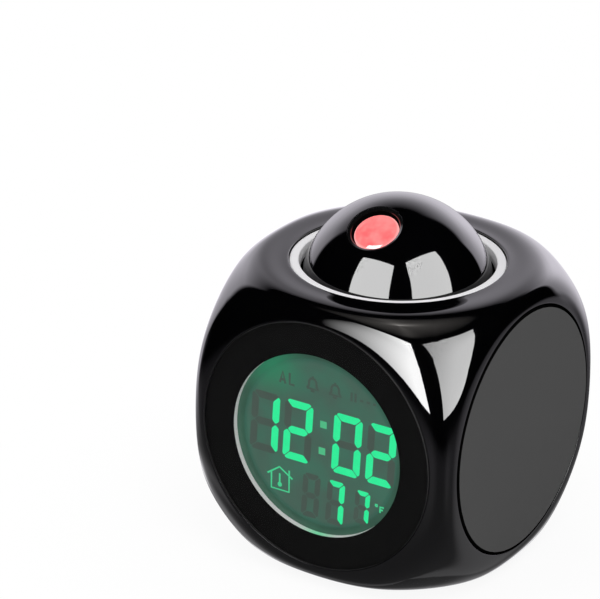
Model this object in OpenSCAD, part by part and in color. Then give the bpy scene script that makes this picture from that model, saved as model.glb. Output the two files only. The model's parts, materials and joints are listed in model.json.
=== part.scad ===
// Projection alarm clock: a rounded cube with a round display in front, a grey disc on
// each side, and a tilting projector ball that is pressed down on top for snooze.
// Millimetres. The origin is the middle of the footprint, on the surface it stands on.
// +Z is up and the display faces -Y.

/* [Body] */
// Width of the body between opposite flat faces
body_w = 80; // [76:1:90]
// How far the rounding sphere cuts into the middle of each edge
edge_cut = 0.55; // [0.4:0.05:1.2]
// Thickness of the moulded housing
wall = 2.8; // [2.6:0.1:3.4]
// Height of the rubber feet below the base
foot_h = 1.5; // [1:0.1:3]

/* [Front and display] */
// Distance from the front cover's edge to the body's side faces
cover_margin = 5.3; // [4.6:0.1:6]
// Thickness of the clear front cover
cover_t = 0.8; // [0.7:0.1:1.2]
// Width of the black border between the cover's edge and the round window
border_w = 9; // [8.7:0.1:11.7]
// Thickness of the black border foil
border_t = 0.3; // [0.2:0.05:0.4]
// Depth from the foil to the display glass
lcd_recess = 1.5; // [1.3:0.1:2]
// How far the display glass reaches past the window at its sides
lcd_overlap = 0.6; // [0.3:0.1:1]
// Thickness of the display glass
lcd_t = 2.2; // [1.8:0.1:2.6]
// Thickness of the light panel behind the glass
light_t = 3; // [2.5:0.1:3.5]

/* [Side and rear discs] */
// Distance from a side disc's edge to the body's front and rear faces
side_margin = 6.4; // [6:0.1:8]
// Thickness of the side discs
side_t = 1.6; // [1.2:0.1:1.8]
// Width of the dark groove round a side disc
side_gap = 0.5; // [0.3:0.05:0.8]
// Distance from the rear panel's edge to the body's side faces
rear_margin = 6.4; // [6:0.1:6.8]
// Thickness of the rear panel
rear_t = 1.8; // [1.6:0.1:2.2]
// How far the rear panel lies below the rear face
rear_drop = 1; // [0.8:0.1:1.2]

/* [Top ring] */
// Distance from the white ring's edge to the body's side faces
ring_margin = 11.4; // [11:0.1:12]
// Width of the dark gap round the ring
ring_gap = 0.45; // [0.3:0.05:0.6]
// How far the ring lies below the top face
ring_drop = 0.9; // [0.6:0.1:1.2]
// Width of the ring's flat white band
ring_band = 2; // [1.6:0.1:2.2]

/* [Projector ball] */
// Width of the white ring between its edge and the ball
ring_w = 2.8; // [2.7:0.1:3.6]
// Depth of the ball's centre below the top face
ball_drop = 9.6; // [9:0.1:11]
// Thickness of the ball's shells
ball_wall = 1.8; // [1.5:0.1:2.2]
// Tilt of the lens towards the front at rest, in degrees
lens_tilt = 29; // [20:1:35]
// Radius of the projection lens
lens_r = 6; // [5:0.1:6.2]
// Depth of the lens's crown below the ball's skin
lens_sink = 2.4; // [1.8:0.1:3.2]
// Radius of the pivot pins
pin_r = 1.5; // [1.2:0.1:1.8]

/* [Snooze carriage] */
// How far the ball goes down when it is pressed
press_travel = 1.2; // [0.6:0.1:1.6]
// Radius of the guide posts
post_r = 2; // [1.6:0.1:2.2]
// Wire thickness of the snooze springs
spring_wire = 0.6; // [0.4:0.1:0.8]

/* [Rear controls] */
// Radius of a key
key_r = 3; // [2.4:0.1:3.4]
// Distance from key to key
key_pitch = 12; // [11.6:0.1:13]
// How far a key goes in
key_travel = 0.6; // [0.4:0.1:0.8]
// Radius of the inlet's bore, for a plug of 3.5 mm diameter
jack_r = 1.85; // [1.8:0.01:1.95]
// Radius of the loudspeaker
speaker_r = 13.5; // [11:0.5:14]

/* [Base and batteries] */
// Distance from the base plate's edge to the body's side faces
base_margin = 5; // [4.6:0.1:5.2]
// Thickness of the base plate
base_t = 2.4; // [2.2:0.1:2.8]
// Thickness of the battery door
door_t = 2; // [1.8:0.1:2.2]
// Radius of a battery cell
cell_r = 5.25; // [5:0.05:5.4]
// Length of a battery cell with its button
cell_l = 44.5; // [43:0.5:45]
// Radius of a rubber foot
foot_r = 3.5; // [2.5:0.1:4]

/* [Hidden] */
$fn = 72;

// Clearances
fit = 0.1;          // between a piece and the seat that it drops into
slack = 0.3;        // round a piece that sits loosely
running = 0.05;     // radial, between a pin and its bore
eps = 0.5;          // how far a cutter runs past a face

// Body
half = body_w / 2;
centre_z = foot_h + half;
corner_r = half * sqrt(2) - edge_cut;
blend = 27;         // exponent of the blend between a flat face and the sphere
inner_half = half - wall;

// Front stack, as distances in front of the body's centre
cover_r = half - cover_margin;
window_r = cover_r - border_w;
lcd_w = 2 * (window_r + lcd_overlap);
border_front = half - cover_t;
border_back = border_front - border_t;
glass_front = border_back - lcd_recess;
glass_back = glass_front - lcd_t;
light_back = glass_back - light_t;
led_h = 1;
display_board_t = 1.2;
display_board_front = light_back - led_h - 0.8;
front_ledge = 2.4;  // width of the ledge that the border rests on
front_hole_r = cover_r - front_ledge;
frame_wall = 5.4;
frame_w = lcd_w + 2 * frame_wall;
frame_r = cover_r + 1.3;
lcd_cut_r = frame_r - 3;
light_w = lcd_w - 5;
display_screw_x = frame_w / 2 - frame_wall / 2;
display_screw_z = 10;
strip_end = 1.9;    // from a contact strip's end to the edge of the glass
strip_l = 2 * sqrt(pow(lcd_cut_r, 2) - pow(lcd_w / 2, 2)) - 2 * strip_end;

// Side discs
side_r = half - side_margin;

// Rear stack
rear_r = half - rear_margin;
rear_face = half - rear_drop;
rear_seat = rear_face - rear_t;
rear_ledge = 3.5;
rear_ledge_t = 2.4;
rear_screw_ring = rear_r - 2;
rear_screw_len = 5;
key_row_z = 13;
key_proud = rear_drop;  // the keys end level with the rear face
key_flange_r = key_r + 0.8;
key_flange_t = 0.8;
key_stem_r = 1.4;
dish_r = 12;         // of the hollow for the fingertip
dish_depth = 0.3;
control_board_t = 1.2;
switch_w = 6;
switch_h = 2.4;
plunger_r = 1.7;
plunger_h = 0.5;
reset_l = 4;
reset_w = 3;
reset_h = 1.5;
reset_z = 3;
reset_button_r = 0.6;
control_depth = 6.8;
control_board_front = rear_seat - control_depth;
key_stem_end = control_board_front + switch_h + plunger_h + key_travel + 0.05;
control_screw_bite = 4; // how far the board's screws go into their posts
control_w = 44;
control_top = 19;
control_bottom = -17;
board_post_r = 1.6;
jack_x = 17;
jack_z = -6;
jack_nose_r = 3;
jack_entry = 3.4;   // length of the bore in front of the contact chamber
jack_pin_r = 0.65;
speaker_rim_w = 1.1; // wall round the loudspeaker
speaker_margin = 2.05; // from that wall to the rear panel's seat
speaker_angle = 42;  // of the loudspeaker's place, from straight below the panel's centre
speaker_reach = rear_r - rear_ledge - speaker_r - speaker_rim_w - speaker_margin;
speaker_x = -speaker_reach * sin(speaker_angle);
speaker_z = -speaker_reach * cos(speaker_angle);
speaker_rim_t = 1;
speaker_depth = 3;
magnet_t = 2.2;
magnet_r = 6.5;

// Base and battery stack, as heights from the body's centre
base_r = half - base_margin;
base_z = -half;
plate_top = base_z + base_t;
cell_pitch = 2 * cell_r + 0.9;
cell_z = base_z + door_t + slack + cell_r;
tray_wall = 1.2;
tray_l = cell_l + 6.5;
tray_w = 2 * cell_pitch + 2 * cell_r + 1.5;
tray_ceiling = cell_z + cell_r + slack;
tray_top = tray_ceiling + tray_wall;
tray_round = 3;
base_hole_r = base_r - 4.5;
base_ledge_t = 2.4;
base_screw_ring = base_r - 2.4;
door_gap = 0.2;
door_hinge_r = door_t / 2;
door_pin_r = 0.6;
door_pin_l = 1;
door_hinge_y = tray_w / 2 - door_gap - door_hinge_r;
door_hinge_z = base_z + door_hinge_r;
foot_edge = 1.27;    // from a foot to the base plate's edge
foot_angle = 55.8;   // of a foot's place, from the X axis
foot_x = (base_r - foot_edge - foot_r) * cos(foot_angle);
foot_y = (base_r - foot_edge - foot_r) * sin(foot_angle);
foot_seat = 0.4;
contact_t = 0.4;
contact_w = 8;
button_r = 1.9;
button_l = 1;

// Boards over the battery tray
standoff_h = 1.8;
board_t = 1.2;
board_l = 48;
board_w = 40;
board_bottom = tray_top + standoff_h;
board_top = board_bottom + board_t;
hole_to_end = 3;    // from a hole in the main board to the board's end
hole_to_side = 5;   // from a hole in the main board to the board's side
stack_x = board_l / 2 - hole_to_end;
stack_y = board_w / 2 - hole_to_side;
leg_r = 2.6;
stack_screw_r = 1.1;
guide_leg_h = 5.5;
guide_bottom = board_top + guide_leg_h;
guide_t = 2;
guide_top = guide_bottom + guide_t;
guide_l = board_l + 2;
guide_w = board_w - 2;
guide_round = 3;
guide_screw_l = 5.6;
guide_head_h = 1.6;
chip_x = 9;
chip_r = 4.5;
drop_r = 7;         // radius of the resin drop over the chip
drop_h = 1.6;
capacitor_r = 2.5;
capacitor_h = 5;
crystal_r = 1.5;
crystal_l = 8;
socket_l = 8;
socket_w = 4.5;
socket_h = 4;
ribbon_w = 14;
ribbon_t = 0.3;
ribbon_bend = 4;
ribbon_up = 10;     // how far the ribbon lies along the display board
ribbon_on = 4;      // how far the ribbon reaches over the main board
snooze_body_h = 3.4;
snooze_plunger_h = 0.8;
snooze_top = board_top + snooze_body_h + snooze_plunger_h;

// Ball, lens and cradle
ring_r = half - ring_margin;
ball_r = ring_r - ring_w;
lens_h = ball_r - lens_sink;
ball_z = half - ball_drop;
cradle_top = ball_z - ball_r - 3.6;
cradle_t = 2.5;
cradle_w = 20;
arm_gap = 1.2;
arm_t = 3;
arm_x = ball_r + arm_gap;
arm_head_r = 4.5;
post_x = 20;
bush_r = post_r + 1.6;
bush_bottom = cradle_top - 9;
stem_r = 2.5;
stem_end = snooze_top + press_travel + 0.1;
spring_mean_r = post_r + spring_wire / 2 + 0.55;
spring_turns = 5;
pin_inner = ball_r - 5.8;
pin_outer = arm_x + arm_t + 0.4;
boss_r = pin_r + 2;
barrel_wall = 1.6;
barrel_r = lens_r + barrel_wall;
barrel_flange_r = barrel_r + 1.6;
barrel_flange_t = 1.4;
ball_inner_r = ball_r - ball_wall;
barrel_flange_top = sqrt(pow(ball_inner_r - slack / 2, 2) - pow(barrel_flange_r, 2));
lens_edge_t = 2;
lens_crown = 0.8;
lens_seat = lens_h - lens_crown - lens_edge_t;
shelf_r = lens_r - 0.8;
film_front = 12.5;
film_t = 1;
condenser_t = 3;
led_r = 2.5;
led_l = 6.5;
led_board_t = 1.2;

// Top ring
ring_top = half - ring_drop;
ring_inner_r = ball_r - 0.1;
ring_flange_r = ring_r + 4.6;
ring_flange_t = 1.4;
ring_screw_ring = ring_r + 2.6;
ring_screw_r = 0.7;
ring_screw_bite = 1.2; // how far the ring's screws go into the housing
ring_head_r = 1.4;
ring_head_h = 0.8;

// Colours
black_gloss = [0.03, 0.03, 0.035];
black_matt = [0.1, 0.1, 0.11];
grey_disc = [0.29, 0.29, 0.29];
white_plastic = [0.9, 0.9, 0.9];
board_green = [0.1, 0.35, 0.18];
steel = [0.75, 0.75, 0.77];
nickel = [0.82, 0.8, 0.74];
rubber_black = [0.07, 0.07, 0.07];

// ---------- Frames and small helpers ----------

// The body's centre as the origin, +Z up.
module body_frame() { translate([0, 0, centre_z]) children(); }

// Local +Z points out of the front face, local +Y is up.
module front_frame() { body_frame() rotate([90, 0, 0]) children(); }

// Local +Z points out of the rear face, local +Y is up.
module rear_frame() { body_frame() rotate([90, 0, 180]) children(); }

// Local +Z points out of the right (side = 1) or left (side = -1) face.
module side_frame(side) { body_frame() rotate([90, 0, 90 * side]) children(); }

// The ball's centre as the origin, local +Z along the lens's axis.
module lens_frame() { body_frame() translate([0, 0, ball_z]) rotate([lens_tilt, 0, 0]) children(); }

module disc(r, low, high) { translate([0, 0, low]) cylinder(r = r, h = high - low); }

module pipe(outer, inner, low, high) {
    difference() {
        disc(outer, low, high);
        disc(inner, low - eps, high + eps);
    }
}

module slab(size_x, size_y, low, high) {
    translate([-size_x / 2, -size_y / 2, low]) cube([size_x, size_y, high - low]);
}

// A rectangle with true round corners.
module rounded_rect(size_x, size_y, r) {
    square([size_x - 2 * r, size_y], center = true);
    square([size_x, size_y - 2 * r], center = true);
    for (x = [-1, 1], y = [-1, 1])
        translate([x * (size_x / 2 - r), y * (size_y / 2 - r)]) circle(r);
}

module rounded_slab(size_x, size_y, r, low, high) {
    translate([0, 0, low]) linear_extrude(high - low) rounded_rect(size_x, size_y, r);
}

// A square plate whose corners a circle cuts off.
module clipped_slab(width, clip_r, low, high) {
    intersection() {
        slab(width, width, low, high);
        disc(clip_r, low - eps, high + eps);
    }
}

module on_ring(r, count, first = 0) {
    for (i = [0 : count - 1]) rotate(first + i * 360 / count) translate([r, 0, 0]) children();
}

module at_corners(x, y) {
    for (sx = [-1, 1], sy = [-1, 1]) translate([sx * x, sy * y, 0]) children();
}

// A cheese-head screw with its head's underside at z = 0 and its shank below.
module screw(shank_r, shank_l, head_r, head_h) {
    difference() {
        union() {
            disc(shank_r, -shank_l, 0);
            disc(head_r, 0, head_h);
        }
        for (a = [0, 90]) rotate(a) slab(head_r * 1.2, head_h * 0.35, head_h / 2, head_h + eps);
    }
}

// Wire that winds up from z = 0 with closed, flat-lying ends: one swept tube.
module coil_spring(mean_r, wire_r, height, turns, steps = 16, sides = 6) {
    rings = turns * steps;
    rise = height - 2 * wire_r;
    function centre(i) = [
        mean_r * cos(360 * i / steps), mean_r * sin(360 * i / steps), wire_r + rise * i / rings
    ];
    points = [
        for (i = [0 : rings], k = [0 : sides - 1])
        let (turn = 360 * i / steps, a = 360 * k / sides)
        centre(i) + wire_r * [cos(a) * cos(turn), cos(a) * sin(turn), sin(a)]
    ];
    faces = [
        [for (k = [0 : sides - 1]) k],
        [for (k = [sides - 1 : -1 : 0]) rings * sides + k],
        for (i = [0 : rings - 1], k = [0 : sides - 1])
        let (a = i * sides + k, b = i * sides + (k + 1) % sides)
        each [[a, a + sides, b + sides], [a, b + sides, b]]
    ];
    polyhedron(points, faces);
}

// ---------- Housing ----------

// Distance from a face's axis and height along it, at an angle from that axis, of the
// smooth blend between the flat face and the rounding sphere.
function blend_point(angle) =
    let (
        flat_term = pow(cos(angle) / half, blend),
        s = 1 / pow(pow(1 / corner_r, blend) + flat_term, 1 / blend)
    ) [s * sin(angle), s * cos(angle)];

// The space where a point's height is more than its distance along X and along Y.
module face_wedge() {
    big = 2 * corner_r;
    intersection() {
        translate([0, -big / 2, 0]) rotate([0, -45, 0]) cube(big);
        translate([-big / 2, 0, 0]) rotate([45, 0, 0]) cube(big);
    }
}

// One flat face with the blend round it, turned about the face's axis down to the centre.
module face_form() {
    crease = acos(half / corner_r);
    first = crease - 5;
    last = crease + 8;
    steps = 5;
    rim = [for (i = [0 : steps]) blend_point(first + (last - first) * i / steps)];
    out = corner_r + 5;
    rotate(31) rotate_extrude() intersection() {
        circle(corner_r);
        polygon(concat(
            [[0, 0], [0, half], [rim[0][0] - 1.5, half]], rim,
            [rim[steps] * 1.003, [out, rim[steps][1] - 3], [out, 0]]
        ));
    }
}

// Six such faces, each cut to its own wedge of the cube.
module body_solid() {
    for (turn = [[0, 0], [180, 0], [90, 0], [90, 180], [90, 90], [90, -90]])
        rotate([turn[0], 0, turn[1]]) intersection() {
            face_form();
            face_wedge();
        }
}

module body_cavity() {
    intersection() {
        cube(2 * inner_half, center = true);
        sphere(corner_r - wall);
    }
}

// The hole in the floor of the base recess: round, with room for the battery tray's corners.
module base_opening(low, high) {
    disc(base_hole_r, low, high);
    rounded_slab(tray_l + 2 * tray_wall + 2 * slack, tray_w + 2 * tray_wall + 2 * slack,
        tray_round + slack, low, high);
}

module housing() {
    color(black_gloss) difference() {
        union() {
            body_frame() difference() {
                body_solid();
                body_cavity();
            }
            rear_frame() {
                disc(rear_r + 3, rear_seat - rear_ledge_t, inner_half + eps);
                on_ring(rear_screw_ring, 4, 45) disc(2.4, rear_seat - rear_screw_len, rear_seat);
            }
            body_frame() {
                disc(base_r + 1.8, -inner_half - eps, plate_top + base_ledge_t);
                on_ring(base_screw_ring, 4) disc(2.4, plate_top, plate_top + 4.2);
            }
        }
        front_frame() {
            disc(cover_r + fit / 2, border_back, half + eps);
            disc(front_hole_r, inner_half - eps, half);
        }
        for (side = [-1, 1]) side_frame(side) disc(side_r + side_gap, half - side_t, half + eps);
        rear_frame() {
            disc(rear_r + fit, rear_seat, half + eps);
            disc(rear_r - rear_ledge, rear_seat - rear_ledge_t - 8, half);
            on_ring(rear_screw_ring, 4, 45) disc(0.9, rear_seat - rear_screw_len + 0.6, half);
        }
        body_frame() {
            disc(ring_r + ring_gap, inner_half - eps, half + eps);
            disc(base_r + fit, base_z - eps, plate_top);
            base_opening(base_z, plate_top + 8);
            on_ring(base_screw_ring, 4) disc(0.9, base_z, plate_top + 3.6);
            on_ring(ring_screw_ring, 4, 45)
                disc(ring_screw_r, inner_half - eps, inner_half + ring_screw_bite + 0.2);
        }
    }
}

// ---------- Front and display ----------

module front_cover() {
    color([0.85, 0.9, 0.92, 0.35]) front_frame() disc(cover_r, border_front, half);
}

module window_border() {
    color(black_matt) front_frame() pipe(cover_r - fit, window_r, border_back, border_front);
}

// White frame: its spigot fills the housing's front hole and its pocket holds the glass.
module display_frame() {
    color(white_plastic) front_frame() difference() {
        union() {
            disc(front_hole_r - fit, inner_half - eps, border_back);
            clipped_slab(frame_w, frame_r, display_board_front, inner_half);
        }
        disc(window_r, glass_front - eps, half);
        clipped_slab(lcd_w + 2 * fit, lcd_cut_r + fit, display_board_front - eps, glass_front);
        at_corners(display_screw_x, display_screw_z) disc(0.9, display_board_front - eps,
            display_board_front + 4);
    }
}

module lcd_glass() {
    color([0.27, 0.43, 0.36]) front_frame() clipped_slab(lcd_w, lcd_cut_r, glass_back, glass_front);
}

module light_panel() {
    color([0.75, 0.95, 0.85]) front_frame() clipped_slab(light_w, lcd_cut_r, light_back, glass_back);
}

// Rubber contact strips between the glass and its board, above and below the light panel.
module lcd_connectors() {
    strip_w = (lcd_w - light_w) / 2 - 0.4;
    color([0.6, 0.3, 0.35]) front_frame() for (side = [-1, 1])
        translate([0, side * (lcd_w / 2 - strip_w / 2), 0])
            slab(strip_l, strip_w, display_board_front, glass_back);
}

module display_board() {
    color(board_green) front_frame() difference() {
        clipped_slab(frame_w - 1, frame_r - 1.4, display_board_front - display_board_t,
            display_board_front);
        at_corners(display_screw_x, display_screw_z) disc(1.1, 0, half);
    }
}

module backlight_leds() {
    color([0.95, 0.95, 0.8]) front_frame() at_corners(light_w / 4, light_w / 4)
        slab(3.2, 2.8, display_board_front, display_board_front + led_h);
}

module display_screws() {
    color(steel) front_frame() at_corners(display_screw_x, display_screw_z)
        translate([0, 0, display_board_front - display_board_t]) rotate([180, 0, 0])
            screw(0.9, display_board_t + 3.6, 1.7, 1.2);
}

// ---------- Side discs ----------

module side_disc(side) {
    color(grey_disc) side_frame(side) difference() {
        disc(side_r, half - side_t, half);
        // a turned chamfer round the outer edge
        rotate_extrude() polygon([
            [side_r - 0.4, half + 0.01], [side_r + 0.4, half - 0.79], [side_r + 0.4, half + 0.01]
        ]);
    }
}

module side_disc_left() { side_disc(-1); }
module side_disc_right() { side_disc(1); }

// ---------- Top ring ----------

module top_ring() {
    lip = inner_half + 0.2;
    color(white_plastic) body_frame() difference() {
        rotate_extrude() polygon([
            [ring_r, ring_top - 0.2], [ring_r - 0.2, ring_top], [ring_r - ring_band, ring_top],
            [ring_inner_r, lip], [ring_inner_r, inner_half - ring_flange_t],
            [ring_flange_r, inner_half - ring_flange_t], [ring_flange_r, inner_half],
            [ring_r, inner_half]
        ]);
        on_ring(ring_screw_ring, 4, 45) disc(0.9, 0, half);
    }
}

module ring_screws() {
    color(steel) body_frame() on_ring(ring_screw_ring, 4, 45)
        translate([0, 0, inner_half - ring_flange_t]) rotate([180, 0, 0])
            screw(ring_screw_r, ring_flange_t + ring_screw_bite, ring_head_r, ring_head_h);
}

// ---------- Rear panel and controls ----------

key_x = [for (i = [0 : 3]) (i - 1.5) * key_pitch];

module rear_panel() {
    color(black_matt) rear_frame() difference() {
        union() {
            disc(rear_r, rear_seat, rear_face);
            // posts for the control board and a rim round the loudspeaker
            for (x = [-1, 1]) translate([x * key_pitch, key_row_z, 0])
                disc(board_post_r, control_board_front, rear_seat + eps);
            translate([speaker_x, speaker_z, 0])
                pipe(speaker_r + speaker_rim_w, speaker_r + fit, rear_seat - 2, rear_seat + eps);
        }
        for (x = key_x) translate([x, key_row_z, 0]) disc(key_r + 0.25, rear_seat - eps, half);
        for (x = [-1, 1]) translate([x * key_pitch, key_row_z, 0])
            disc(0.8, control_board_front - eps, rear_seat - 0.5);
        translate([jack_x, jack_z, 0]) disc(jack_nose_r + 0.2, rear_seat - 3, half);
        // pinhole over the reset switch
        translate([jack_x, reset_z, 0]) disc(0.7, rear_seat - 3, half);
        speaker_slots();
        on_ring(rear_screw_ring, 4, 45) {
            disc(1.15, rear_seat - eps, half);
            disc(1.75, rear_face - 0.9, half);
        }
    }
}

// Upright slots in front of the loudspeaker, longest in the middle.
module speaker_slots() {
    slot_w = 1.4;
    pitch = 3;
    for (i = [-3 : 3]) {
        slot_l = 2 * sqrt(pow(speaker_r - 2.5, 2) - pow(i * pitch, 2));
        translate([speaker_x + i * pitch, speaker_z, 0])
            rounded_slab(slot_w, slot_l, slot_w / 2 - 0.01, rear_seat - eps, half);
    }
}

module rear_panel_screws() {
    color(steel) rear_frame() on_ring(rear_screw_ring, 4, 45)
        translate([0, 0, rear_face - 0.9]) screw(0.9, rear_t - 0.9 + 3.8, 1.65, 0.8);
}

module control_board() {
    color(board_green) rear_frame() difference() {
        translate([-control_w / 2, control_bottom, control_board_front - control_board_t])
            cube([control_w, control_top - control_bottom, control_board_t]);
        for (x = [-1, 1]) translate([x * key_pitch, key_row_z, 0]) disc(0.95, 0, half);
    }
}

module control_board_screws() {
    color(steel) rear_frame() for (x = [-1, 1])
        translate([x * key_pitch, key_row_z, control_board_front - control_board_t])
            rotate([180, 0, 0]) screw(0.8, control_board_t + control_screw_bite, 1.5, 1);
}

module tact_switch(body_h, button_h) {
    slab(switch_w, switch_w, 0, body_h);
    disc(plunger_r, body_h - 0.2, body_h + button_h);
}

module key_switches() {
    color([0.2, 0.2, 0.2]) rear_frame() {
        for (x = key_x) translate([x, key_row_z, control_board_front])
            tact_switch(switch_h, plunger_h);
        translate([jack_x, reset_z, control_board_front]) {
            slab(reset_l, reset_w, 0, reset_h);
            disc(reset_button_r, reset_h - 0.1, reset_h + 0.5);
        }
    }
}

// Round inlet: an open bore in front, and behind it a wider chamber with the centre pin.
module dc_jack() {
    chamber_top = rear_face - jack_entry;
    chamber_bottom = control_board_front + 1;
    color(black_matt) rear_frame() translate([jack_x, jack_z, 0]) {
        difference() {
            union() {
                slab(7.4, 7, control_board_front, rear_seat - 0.4);
                disc(jack_nose_r, rear_seat - eps, rear_face);
            }
            disc(jack_r, chamber_top - eps, half);
            disc(jack_r + 0.35, chamber_bottom, chamber_top);
        }
        disc(jack_pin_r, chamber_bottom - 0.2, chamber_top - 0.3);
    }
}

module at_speaker() { rear_frame() translate([speaker_x, speaker_z, 0]) children(); }

module speaker_basket() {
    color(steel) at_speaker() {
        pipe(speaker_r, speaker_r - 1.6, rear_seat - speaker_rim_t, rear_seat);
        rotate_extrude() polygon([
            [speaker_r, rear_seat - speaker_rim_t], [speaker_r - 1.6, rear_seat - speaker_rim_t],
            [6.6, rear_seat - speaker_depth + 0.6], [4, rear_seat - speaker_depth + 0.6],
            [4, rear_seat - speaker_depth], [7, rear_seat - speaker_depth]
        ]);
    }
}

module speaker_magnet() {
    color([0.25, 0.25, 0.27]) at_speaker()
        disc(magnet_r, rear_seat - speaker_depth - magnet_t, rear_seat - speaker_depth);
}

module speaker_cone() {
    edge = speaker_r - 1.6;
    color([0.12, 0.12, 0.12]) at_speaker() {
        rotate_extrude() polygon([
            [edge, rear_seat - 0.3], [edge, rear_seat - 0.6], [4.2, rear_seat - 1.9],
            [0, rear_seat - 1.9], [0, rear_seat - 1.6], [4.2, rear_seat - 1.6]
        ]);
        // voice coil, from the cone down to the magnet
        pipe(3.2, 2.8, rear_seat - speaker_depth, rear_seat - 1.7);
    }
}

module key(i) {
    color(black_gloss) rear_frame() translate([key_x[i], key_row_z, 0]) {
        difference() {
            disc(key_r, rear_seat - key_flange_t - 0.2, rear_face + key_proud);
            // shallow dish for the fingertip
            translate([0, 0, rear_face + key_proud + dish_r - dish_depth]) sphere(dish_r);
        }
        disc(key_flange_r, rear_seat - key_flange_t - 0.2, rear_seat - 0.2);
        disc(key_stem_r, key_stem_end, rear_seat - key_flange_t);
    }
}

module key_1() { key(0); }
module key_2() { key(1); }
module key_3() { key(2); }
module key_4() { key(3); }

// ---------- Base, feet and batteries ----------

module base_plate() {
    outer_l = tray_l + 2 * tray_wall;
    outer_w = tray_w + 2 * tray_wall;
    color(black_matt) body_frame() difference() {
        union() {
            disc(base_r, base_z, plate_top);
            rounded_slab(outer_l, outer_w, tray_round, base_z + 0.5, tray_top);
            at_corners(stack_x, stack_y) disc(leg_r, tray_ceiling, board_bottom);
        }
        slab(tray_l, tray_w, base_z - eps, tray_ceiling);
        for (x = [-1, 1]) translate([x * tray_l / 2, door_hinge_y, door_hinge_z])
            rotate([0, 90, 0]) cylinder(r = door_pin_r + running, h = 2.4, center = true);
        at_corners(stack_x, stack_y) disc(stack_screw_r, tray_ceiling - eps, board_bottom + eps);
        at_corners(foot_x, foot_y) disc(foot_r + fit, base_z - eps, base_z + foot_seat);
        on_ring(base_screw_ring, 4) {
            disc(1.15, base_z - eps, plate_top + eps);
            disc(1.75, base_z - eps, base_z + 1);
        }
    }
}

module base_screws() {
    color(steel) body_frame() on_ring(base_screw_ring, 4)
        translate([0, 0, base_z + 1]) rotate([180, 0, 0]) screw(0.9, base_t - 1 + 3.2, 1.65, 0.8);
}

module foot(x, y) {
    color(rubber_black) body_frame() translate([x * foot_x, y * foot_y, 0]) difference() {
        disc(foot_r, base_z - foot_h, base_z + foot_seat);
        translate([0, 0, base_z - foot_h]) rotate_extrude() polygon([
            [foot_r - 0.4, -0.01], [foot_r + 0.2, -0.01], [foot_r + 0.2, 0.59]
        ]);
    }
}

module foot_1() { foot(-1, -1); }
module foot_2() { foot(1, -1); }
module foot_3() { foot(-1, 1); }
module foot_4() { foot(1, 1); }

// The door's rounded rear edge turns about its stub pins, and a thumb notch is in front.
module battery_door() {
    length = tray_l - 2 * door_gap;
    front_y = -tray_w / 2 + door_gap;
    color(black_matt) body_frame() difference() {
        union() {
            translate([-length / 2, front_y, base_z])
                cube([length, door_hinge_y - front_y, door_t]);
            translate([0, door_hinge_y, door_hinge_z]) rotate([0, 90, 0]) {
                cylinder(r = door_hinge_r, h = length, center = true);
                cylinder(r = door_pin_r, h = length + 2 * door_pin_l, center = true);
            }
        }
        translate([0, front_y + 5, base_z - 8.8]) sphere(10);
        for (i = [0 : 2]) translate([0, front_y + 9.5 + 2 * i, 0])
            slab(12, 0.8, base_z - eps, base_z + 0.4);
    }
}

// Cells lie along X and alternate; cell_dir is the way that the button points.
function cell_y(i) = (i - 1) * cell_pitch;
function cell_dir(i) = i % 2 == 0 ? 1 : -1;
button_end = tray_l / 2 - contact_t - slack;

module cell(i) {
    body_frame() translate([0, cell_y(i), cell_z]) rotate([0, 90 * cell_dir(i), 0]) {
        color([0.2, 0.45, 0.3]) disc(cell_r, button_end - cell_l, button_end - button_l - 8);
        color([0.75, 0.6, 0.3]) disc(cell_r, button_end - button_l - 8, button_end - button_l);
        color(nickel) disc(button_r, button_end - button_l, button_end);
    }
}

module cell_1() { cell(0); }
module cell_2() { cell(1); }
module cell_3() { cell(2); }

module battery_contacts() {
    color(nickel) body_frame() for (i = [0 : 2], end = [-1, 1])
        translate([end * (tray_l / 2 - contact_t / 2), cell_y(i), cell_z])
            cube([contact_t, contact_w, contact_w], center = true);
}

module battery_springs() {
    room = tray_l - contact_t - (tray_l / 2 - button_end) - cell_l;
    color(nickel) body_frame() for (i = [0 : 2])
        translate([-cell_dir(i) * (tray_l / 2 - contact_t), cell_y(i), cell_z])
            rotate([0, 90 * cell_dir(i), 0]) coil_spring(2.8, 0.3, room, 3, 14, 6);
}

// ---------- Main board and guide ----------

module main_board() {
    color(board_green) body_frame() difference() {
        slab(board_l, board_w, board_bottom, board_top);
        at_corners(stack_x, stack_y) disc(stack_screw_r + fit, board_bottom - eps, board_top + eps);
    }
}

// Bare die under a drop of black resin.
module main_chip() {
    color(black_matt) body_frame() translate([chip_x, -chip_x, board_top]) intersection() {
        disc(chip_r, 0, 2 * drop_h);
        translate([0, 0, drop_h - drop_r]) sphere(drop_r);
    }
}

module board_parts() {
    color([0.35, 0.4, 0.5]) body_frame() translate([0, 0, board_top]) {
        // capacitor, crystal, loudspeaker socket and lamp socket
        translate([-board_l / 4, -chip_x, 0]) disc(capacitor_r, 0, capacitor_h);
        translate([-crystal_l / 2, 0.3 * board_w, crystal_r]) rotate([0, 90, 0])
            cylinder(r = crystal_r, h = crystal_l);
        translate([board_l / 4, 0.3 * board_w, 0]) slab(socket_l, socket_w, 0, socket_h);
        translate([-0.3 * board_l, board_w / 5, 0]) slab(0.75 * socket_l, socket_w, 0, socket_h);
    }
}

module snooze_switch() {
    color([0.2, 0.2, 0.2]) body_frame() translate([0, 0, board_top])
        tact_switch(snooze_body_h, snooze_plunger_h);
}

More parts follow.
